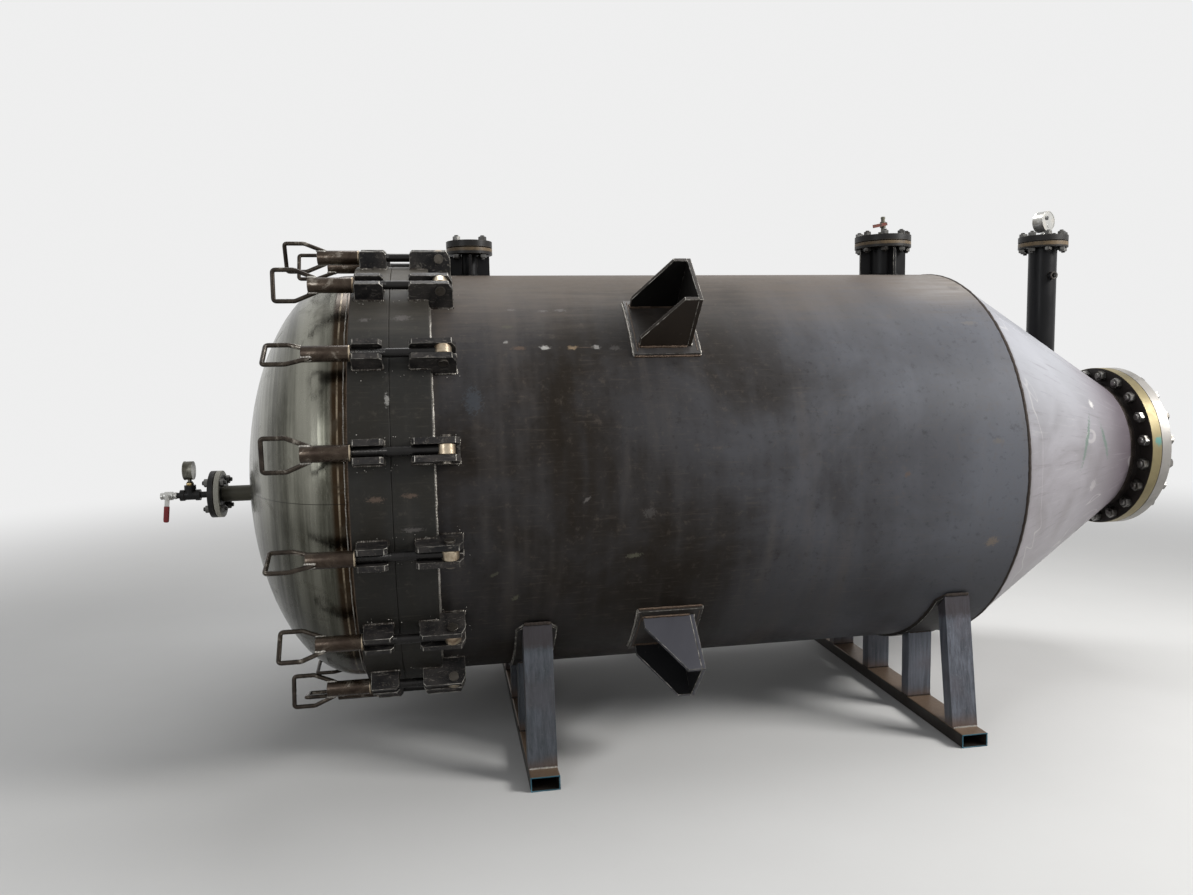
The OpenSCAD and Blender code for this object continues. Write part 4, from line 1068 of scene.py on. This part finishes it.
def seam_welds(m):
    """Seams of the tank itself."""
    form = Form()
    # x, radius, points, lean along the tank, width, height, seed, material number
    rounds = [
        (1, SHELL_R + 0.2, 300, 0.9, 15, 6.5, 3, 0),
        (SHELL_LEN, SHELL_R + 0.2, 320, 0, 12, 2.6, 5, 2),
        (RING_BACK - 2, SHELL_R + 0.5, 300, -0.7, 14, 5, 7, 1),
        (RING_BACK - 14, SHELL_R + 0.3, 300, 0, 4, 1.2, 8, 0),
    ]
    for k, shift in enumerate((-24, -15, -6, 4)):
        lift = max(0.0, -shift) * CONE_SLOPE
        rounds.append((HUB_X - 2 + shift, OUTLET_HUB_R + lift, 200, 0, 12, 3.4, 11 + k, 2))
    for x, radius, count, lean, width, height, seed, number in rounds:
        form.add(bead(*around(x, radius, count, lean), width, height, True, seed), number=number)
    seam_angle, count = 39, 130
    points = []
    for x in steps(SHELL_LEN, HUB_X - 12, count):
        points.append(on_wall(x, seam_angle, SHELL_R - (x - SHELL_LEN) * CONE_SLOPE))
    lean = directions(seam_angle)[0] + Vector((CONE_SLOPE, 0, 0))
    form.add(bead(points, [lean] * count, 9, 1.6, seed=21), number=3)
    materials = [m["weld_bright"], m["weld_brown"], m["weld_dark"], m["cone"]]
    form.piece("Seam_Welds", materials, TANK, "shell_steel")


def closure_welds(m):
    """Fillets round the feet of the lug plates, with spatter beside them."""
    form = Form()
    for i in range(CLAMPS):
        angle = (i + 0.5) * 360 / CLAMPS
        on_ring, on_shell = beside(angle, RING_R), beside(angle, SHELL_R)
        for side in (-1, 1):
            inner, outer = side * LUG_INNER, side * LUG_OUTER
            middle = (inner + outer) / 2
            seed = 100 + 10 * i + side
            x0, x1 = COVER_LUG
            corners = [(x0, inner), (x0, outer), (x1, outer), (x1, inner)]
            weld_line(form, on_ring, corners, ((x0 + x1) / 2, middle), 5, 0, seed)
            x0, x1 = BODY_LUG
            weld_line(form, on_ring, [(x0, inner), (x0, outer), (-3, outer)], (0, middle), 5, 0, seed + 3)
            corners = [(6, outer), (x1, outer), (x1, inner)]
            weld_line(form, on_shell, corners, (x1 / 2, middle), 5, 0, seed + 5)
        scatter(form, angle, 500 + i)
    form.piece("Closure_Welds", [m["weld_lug"], m["weld_bright"]], TANK, "lug_steel")


def scatter(form, angle, seed):
    """Spatter: small domes of weld metal round one clamp."""
    rng = random.Random(seed)
    dome = [(-0.5, 1.0), (0.25, 0.92), (0.7, 0.6), (0.9, 0.05)]
    for _ in range(22):
        on_ring = rng.random() < 0.7
        x = rng.uniform(-245, -10) if on_ring else rng.uniform(10, 105)
        side = rng.choice((-1, 1)) * (LUG_OUTER + abs(rng.gauss(6, 12)))
        point, out, _ = beside(angle, RING_R if on_ring else SHELL_R)(x, side)
        r = rng.uniform(0.7, 2.0)
        form.add(lathe([(h * r, w * r) for h, w in dome], 8), aim(point, out), 1)


def bracket_welds(m):
    """Fillets of the four brackets: pads on the shell, gussets and plates on the pads."""
    form = Form()
    x0, x1 = PAD_SPAN
    g0, g1 = GUSSET_SPAN
    middle = ((x0 + x1) / 2, 0)
    for k, angle in enumerate((45, 135, 225, 315)):
        on_shell, on_pad = beside(angle, SHELL_R), beside(angle, SHELL_R + PAD_T)
        for x, near in ((x0, x0 + 11), (x1, x1 - 11)):
            weld_line(form, on_shell, [(x, -PAD_HALF), (x, PAD_HALF)], middle, 6, 0, 30 + k)
            weld_line(form, on_pad, [(near, 9 - PAD_HALF), (near, PAD_HALF - 9)], middle, 1.6, 1, 34 + k)
        for side in (-PAD_HALF, PAD_HALF):
            weld_line(form, on_shell, [(x0, side), (x1, side)], middle, 6, 1, 38 + k)
        for side in (-1, 1):
            inner, outer = side * GUSSET_INNER, side * GUSSET_OUTER
            path = [(g1, outer), (g0, outer), (g0, inner), (g1, inner)]
            weld_line(form, on_pad, path, ((g0 + g1) / 2, (inner + outer) / 2), 6, 1, 44 + k)
        outside = BRACKET_X + BRACKET_T
        path = [(outside, -GUSSET_OUTER), (outside, GUSSET_OUTER)]
        weld_line(form, on_pad, path, (BRACKET_X, 0), 6, 0, 50 + k)
    form.piece("Bracket_Welds", [m["weld_bright"], m["weld_brown"]], TANK, "bracket_steel")


def cradle_welds(m):
    """Fillets of the cradles: strips on the shell, legs and posts between strips and beams."""
    form = Form()
    half_arc = math.radians(STRIP_ANGLE) * SHELL_R
    near_arc = half_arc - STRIP_CHAMFER
    for k, middle in enumerate(CRADLES):
        low, high = middle - STRIP_HALF, middle + STRIP_HALF
        low_cut, high_cut = low + STRIP_CHAMFER, high - STRIP_CHAMFER
        outline = [(low, -near_arc), (low_cut, -half_arc), (high_cut, -half_arc), (high, -near_arc),
                   (high, near_arc), (high_cut, half_arc), (low_cut, half_arc), (low, near_arc)]
        number = 3 if k == 0 else 2
        weld_line(form, rolled(180, SHELL_R), outline, (middle, 0), 5, number, 60 + k, True, 9)
        for side in (-1, 1):
            leg_weld(form, middle, side, 5, 70 + k)
        for y in POST_SIDES:
            for face in (-1, 1):
                edge = y + face * SECTION_HALF_Y
                drop = math.sqrt(STRIP_OUT_R ** 2 - edge ** 2)
                straight_weld(form, middle, edge, AXIS_HEIGHT - drop, (0, face, -0.6), 5, 2, 80 + k)
                straight_weld(form, middle, edge, BEAM_TOP, (0, face, 1), 5, 2, 84 + k)
            for end in (-1, 1):
                start = spot(middle + end * SECTION_HALF_X, y - SECTION_HALF_Y, BEAM_TOP - AXIS_HEIGHT)
                finish = start + Vector((0, 2 * SECTION_HALF_Y * MM, 0))
                lean = [Vector((end, 0, 1))] * 10
                form.add(bead(steps(start, finish, 10), lean, 8, 3.5, seed=88 + k), number=2)
    materials = [m["weld_bright"], m["weld_brown"], m["weld_dark"], m["edge"]]
    form.piece("Cradle_Welds", materials, TANK, "cradle_steel")


def straight_weld(form, middle, y, height, lean, size, number, seed):
    """A fillet along X across a hollow section, at the given height above the floor."""
    count = 18
    half = SECTION_HALF_X - 2
    points = [spot(x, y, height - AXIS_HEIGHT) for x in steps(middle - half, middle + half, count)]
    form.fillet(points, [Vector(lean)] * count, size, number, seed=seed, across=5)


def leg_weld(form, middle, side, size, seed):
    """Fillets at the foot and the top of a slanted leg, on its inner and outer faces."""
    lean = math.radians(LEG_LEAN)
    along = Vector((0, -side * math.sin(lean), math.cos(lean)))
    outward = Vector((0, side * math.cos(lean), math.sin(lean)))
    for face in (-1, 1):
        start = Vector((0, side * LEG_FOOT_Y, BEAM_TOP)) + outward * (face * SECTION_HALF_Y)
        base = start + along * ((BEAM_TOP - start.z) / along.z)
        up, down = outward * face + Vector((0, 0, 1)), outward * face - Vector((0, 0, 0.6))
        straight_weld(form, middle, base.y, base.z, up, size, 0 if face > 0 else 2, seed)
        offset = start - Vector((0, 0, AXIS_HEIGHT))
        half_b = offset.dot(along)
        reach = -half_b - math.sqrt(half_b ** 2 - offset.length_squared + STRIP_OUT_R ** 2)
        top = start + along * reach
        straight_weld(form, middle, top.y, top.z, down, size * 1.3, 2, seed + 2)


def rise(x, y):
    """Height of the shell's or the cone's wall above the centre line."""
    wall = SHELL_R - max(0.0, x - SHELL_LEN) * CONE_SLOPE
    return math.sqrt(wall ** 2 - y ** 2)


def gusset_welds(form, x, pipe_r, flange_r, size):
    """Fillets at the feet of a nozzle's four gussets."""
    reach = flange_r - NOZZLE_GUSSET_INSET
    for turn, (c, s) in enumerate(((1, 0), (0, 1), (-1, 0), (0, -1))):
        for face in (-NOZZLE_GUSSET_HALF, NOZZLE_GUSSET_HALF):
            feet = [(x + c * d - s * face, s * d + c * face) for d in steps(pipe_r, reach, 12)]
            lean = Vector((-s * face, c * face, 0)).normalized() + Vector((0, 0, 1))
            points = [spot(px, py, rise(px, py)) for px, py in feet]
            weld = bead(points, [lean] * 12, size * 2, size * 0.8, seed=120 + turn, across=5)
            form.add(weld, number=1)


def head_nozzle_weld(form, size):
    """The fillet of the nozzle on the dished head."""
    points, normals = [], []
    for a in ring(60):
        y, z = HEAD_NOZZLE_R * math.cos(a), HEAD_NOZZLE_Z + HEAD_NOZZLE_R * math.sin(a)
        points.append(spot(HEAD_X - HEAD_DEPTH * math.sqrt(1 - (y * y + z * z) / SHELL_R ** 2), y, z))
        normals.append((-1.1, math.cos(a), math.sin(a)))
    form.fillet(points, normals, size, 0, closed=True, seed=130)


def nozzle_welds(m):
    """Fillets of the nozzles on the shell, the cone and the head, and of their gussets."""
    form = Form()
    size = 6
    for k, (x, height, pipe_r, flange_r, _, _) in enumerate(TOP_NOZZLES):
        foot = [(x + pipe_r * math.cos(a), pipe_r * math.sin(a)) for a in ring(72)]
        normals = [(math.cos(a), math.sin(a), 1.1) for a in ring(72)]
        under = height - TOP_FACE - size * 0.2
        points = [spot(px, py, rise(px, py)) for px, py in foot]
        form.fillet(points, normals, size, 1, closed=True, seed=110 + k)
        points = [spot(px, py, under) for px, py in foot]
        form.fillet(points, normals, -size * 0.8, 1, closed=True, seed=114 + k)
        if x < SHELL_LEN:
            gusset_welds(form, x, pipe_r, flange_r, size)
    head_nozzle_weld(form, size)
    form.piece("Nozzle_Welds", [m["weld_bright"], m["varnish"]], TANK, "nozzle_steel")


def gauge_face(form, place, radius, case=2):
    """Dial card, ticks, pointer, glass and bezel, drawn on a plane that faces Z."""
    card_r = radius - 4.2
    form.add(lathe([(-2.9, card_r), (-2.4, card_r)]), place, 0)
    for k in range(28):
        inner, half = (0.74, 0.55) if k % 3 == 0 else (0.81, 0.3)
        turn = Matrix.Rotation(math.radians(225 - 10 * k), 4, "Z")
        form.add(box((card_r * inner, -half, -2.5), (card_r * 0.91, half, -2.2)), place @ turn, 1)
    pointer = Matrix.Rotation(math.radians(218), 4, "Z")
    form.add(box((-card_r * 0.24, -0.9, -1.9), (card_r * 0.70, 0.9, -1.5)), place @ pointer, 1)
    form.add(lathe([(-2.4, 2.6), (-1.4, 2.6), (-1.1, 1.6)], 24), place, 2)
    form.add(lathe([(-0.9, card_r), (-0.3, card_r)]), place, 3)
    rim = [(-3, card_r - 0.4), (0.6, card_r - 1.4), (1.8, card_r + 0.6), (1.8, radius - 0.8),
           (0.6, radius + 0.9), (-4.5, radius + 0.9), (-5, radius - 0.2)]
    form.add(tube_ring(rim, 64), place, case)


def gauges(m):
    """Faces of both gauges, and the plug and cover on the back of the top one."""
    form = Form()
    centre = spot(TEE_X - 16, 0, HEAD_NOZZLE_Z + 94)
    gauge_face(form, aim(centre, (-1, 0, 0), (0, -1, 0)), 35, 4)
    turn = math.radians(TOP_GAUGE_TURN)
    facing, up = Vector((math.cos(turn), math.sin(turn), 0)), Vector((0, 0, 1))
    x, height = TOP_NOZZLES[2][:2]
    middle = spot(x, 0, height + TOP_FACE + TOP_GAUGE_RISE)
    gauge_face(form, aim(middle + facing * GAUGE_HALF * MM, facing, facing.cross(up)), 44)
    back = aim(middle - facing * GAUGE_HALF * MM, -facing, up.cross(-facing))
    form.add(tube_ring([(-1, 40), (1.2, 40), (1.2, 43), (-1, 44)], 64), back, 2)
    plug = [(-1, 1), (1.5, 1), (2.5, 0.8)]
    form.add(lathe(plug, 36, True, flattened(11, 8.5)), shifted(back, -13, 13), 1)
    form.add(lathe([(-1, 6), (1.2, 6), (2, 4.8)], 30), shifted(back, -2, -21), 2)
    form.piece("Gauge_Faces", [m["dial"], m["ink"], m["case"], m["glass"], m["dim_case"]], TANK, "gauge_case")


def fittings(m):
    """Hexagons of the small valve and the tee, the coupling's mouth and the vent's cap."""
    form = Form()
    valve_hex = [(0, 11), (0, 12.2), (1.5, 14), (8.5, 14), (10, 12.2), (10, 11)]
    for start in (VALVE_X - 29, VALVE_X + 19):
        at = aim(spot(start, 0, HEAD_NOZZLE_Z), (1, 0, 0))
        form.add(lathe(valve_hex, 36, True, hexagon(25)), at, 0)
    tee_hex = [(0, 12), (1, 14), (9, 14), (10, 12)]
    form.add(lathe(tee_hex, 36, True, hexagon(24)), aim(spot(TEE_X, 0, TEE_TOP), (0, 0, 1)), 2)
    (vent_x, vent_height), (gauge_x, gauge_height) = (nozzle[:2] for nozzle in TOP_NOZZLES[1:])
    mouth = aim(spot(gauge_x, -COUPLING_REACH, gauge_height - COUPLING_DROP), (0, -1, 0))
    lip = [(-1, 10.2), (0.6, 11.6), (0.6, 15.4), (-0.9, 17.2), (-3, 17.2), (-3, 10.2)]
    form.add(tube_ring(lip), mouth, 3)
    ridges = []
    for k in range(7):
        ridges += [(-2 - k * 2, 10.6), (-3 - k * 2, 9.6)]
    form.add(lathe(ridges + [(-17, 10.6)], 36, False), mouth, 3)
    vent = aim(spot(vent_x, 0, vent_height + VENT_TOP), (0, 0, 1))
    form.add(lathe([(-8, 9.2), (-1, 9.2), (1, 7.6), (2, 3)], 32), vent, 1)
    form.piece("Fittings", [m["case"], m["olive"], m["brass"], m["dark_stud"]], TANK, "valve_metal")


def test_grip(m):
    """Vinyl sleeve on the small valve's lever, with the lever's screw."""
    joint = next(j for j in frame["joints"] if j["child"] == "test_handle")
    pivot = Vector(joint["pos_m"])
    lean = math.radians(6)
    outer_y = -25.3
    sleeve = [(36, 0.80), (37.5, 0.97), (40, 1.0), (88, 1.0), (94, 0.93), (97, 0.70), (98, 0.25)]
    at = aim((pivot.x, (outer_y + 2.5) * MM, pivot.z), (-math.sin(lean), 0, -math.cos(lean)), (1, 0, 0))
    form = Form()
    form.add(lathe(sleeve, 40, True, flattened(10, 5)), at, 0)
    screw = aim((pivot.x, (outer_y + 0.5) * MM, pivot.z), (0, -1, 0))
    form.add(lathe([(0, 6.5), (4, 6.5), (5, 5.8)], 36, True, hexagon(11)), screw, 1)
    form.piece("Test_Grip", [m["grip"], m["case"]], "test_handle", "lever_grip")


# Stage, lights and camera

def make_floor():
    """A pale floor whose far part is as bright as the background, so that no horizon shows."""
    near, far, reach = 3.0, 8.5, 45.0
    p = Paint("Floor_Pale", roughness=0.9, specular=0.1)
    tone = p.mix(p.noise(3.0, 4, 0.6), (0.64, 0.64, 0.635), (0.67, 0.67, 0.665))
    p.feed(p.shader, {"Base Color": tone})
    glow = p.node("Emission", {"Strength": BACKGROUND})
    distant = p.times(p.span(p.vector("LENGTH", p.own), near, far), p.seen())
    blend = p.node("MixShader", {0: distant, 1: p.shader.outputs[0], 2: glow.outputs[0]})
    p.feed(p.output, {0: blend.outputs[0]})
    mesh = bpy.data.meshes.new("Floor")
    corners = [(-reach, -reach, 0), (reach, -reach, 0), (reach, reach, 0), (-reach, reach, 0)]
    mesh.from_pydata(corners, [], [(0, 1, 2, 3)])
    mesh.materials.append(p.material)
    floor = bpy.data.objects.new("Floor", mesh)
    bpy.context.scene.collection.objects.link(floor)


def lamp(name, at, toward, size, power, color=(1, 1, 1), spread=180):
    light = bpy.data.lights.new(name, "AREA")
    light.spread = math.radians(spread)
    light.shape = "RECTANGLE"
    light.size, light.size_y = size
    light.energy = power
    light.color = color
    obj = bpy.data.objects.new(name, light)
    obj.location = at
    obj.rotation_euler = (Vector(toward) - Vector(at)).to_track_quat("-Z", "Y").to_euler()
    bpy.context.scene.collection.objects.link(obj)


def make_light():
    """A dim even world that looks pale, and three soft lamps."""
    world = bpy.data.worlds.new("Studio")
    sky = Nodes(world)
    level = sky.node("MapRange", {"Value": sky.seen(), "To Min": AMBIENT, "To Max": BACKGROUND})
    back = sky.node("Background", {"Color": (1, 1, 1), "Strength": level.outputs[0]})
    sky.node("OutputWorld", {0: back.outputs[0]})
    bpy.context.scene.world = world
    lamp("Key_Lamp", (5.0, -3.0, 4.0), (0.5, 0, 1.25), (2.2, 1.8), 130, (1.0, 0.985, 0.96), 100)
    lamp("Fill_Lamp", (-4.4, -4.4, 2.8), (-0.8, 0, 0.9), (1.6, 2.4), 46, (0.95, 0.975, 1.0))
    lamp("Top_Lamp", (0.6, 0.6, 5.2), (0.2, 0, 0.8), (6.0, 1.2), 150)


def make_camera():
    """The photograph's viewpoint, from the outlines of the tank in it."""
    photo_width, focal_pixels = 1193, 896.24
    data = bpy.data.cameras.new("Photo_Camera")
    data.sensor_width = 36
    data.sensor_fit = "HORIZONTAL"
    data.lens = focal_pixels * data.sensor_width / photo_width
    data.clip_end = 100
    camera = bpy.data.objects.new("Photo_Camera", data)
    forward = Vector((0.1732680, 0.9800697, -0.0971686)).normalized()
    right = Vector((0.9842376, -0.1758594, -0.0187052)).normalized()
    rows = Matrix((right, right.cross(forward), -forward)).transposed().to_4x4()
    rows.translation = spot(16.36, -3591.7, 427.1)
    camera.matrix_world = rows
    bpy.context.scene.collection.objects.link(camera)
    bpy.context.scene.camera = camera


def main():
    bpy.context.scene.view_settings.view_transform = "Standard"
    make_camera()
    m = make_materials()
    dress_nodes(m)
    for joint in frame["joints"]:
        if joint["child"].startswith("bolt_"):
            swing_bolt(joint, m)
    for make in (flange_studs, seam_welds, closure_welds, bracket_welds, cradle_welds, nozzle_welds, gauges,
                 fittings, test_grip):
        make(m)
    make_floor()
    make_light()


main()
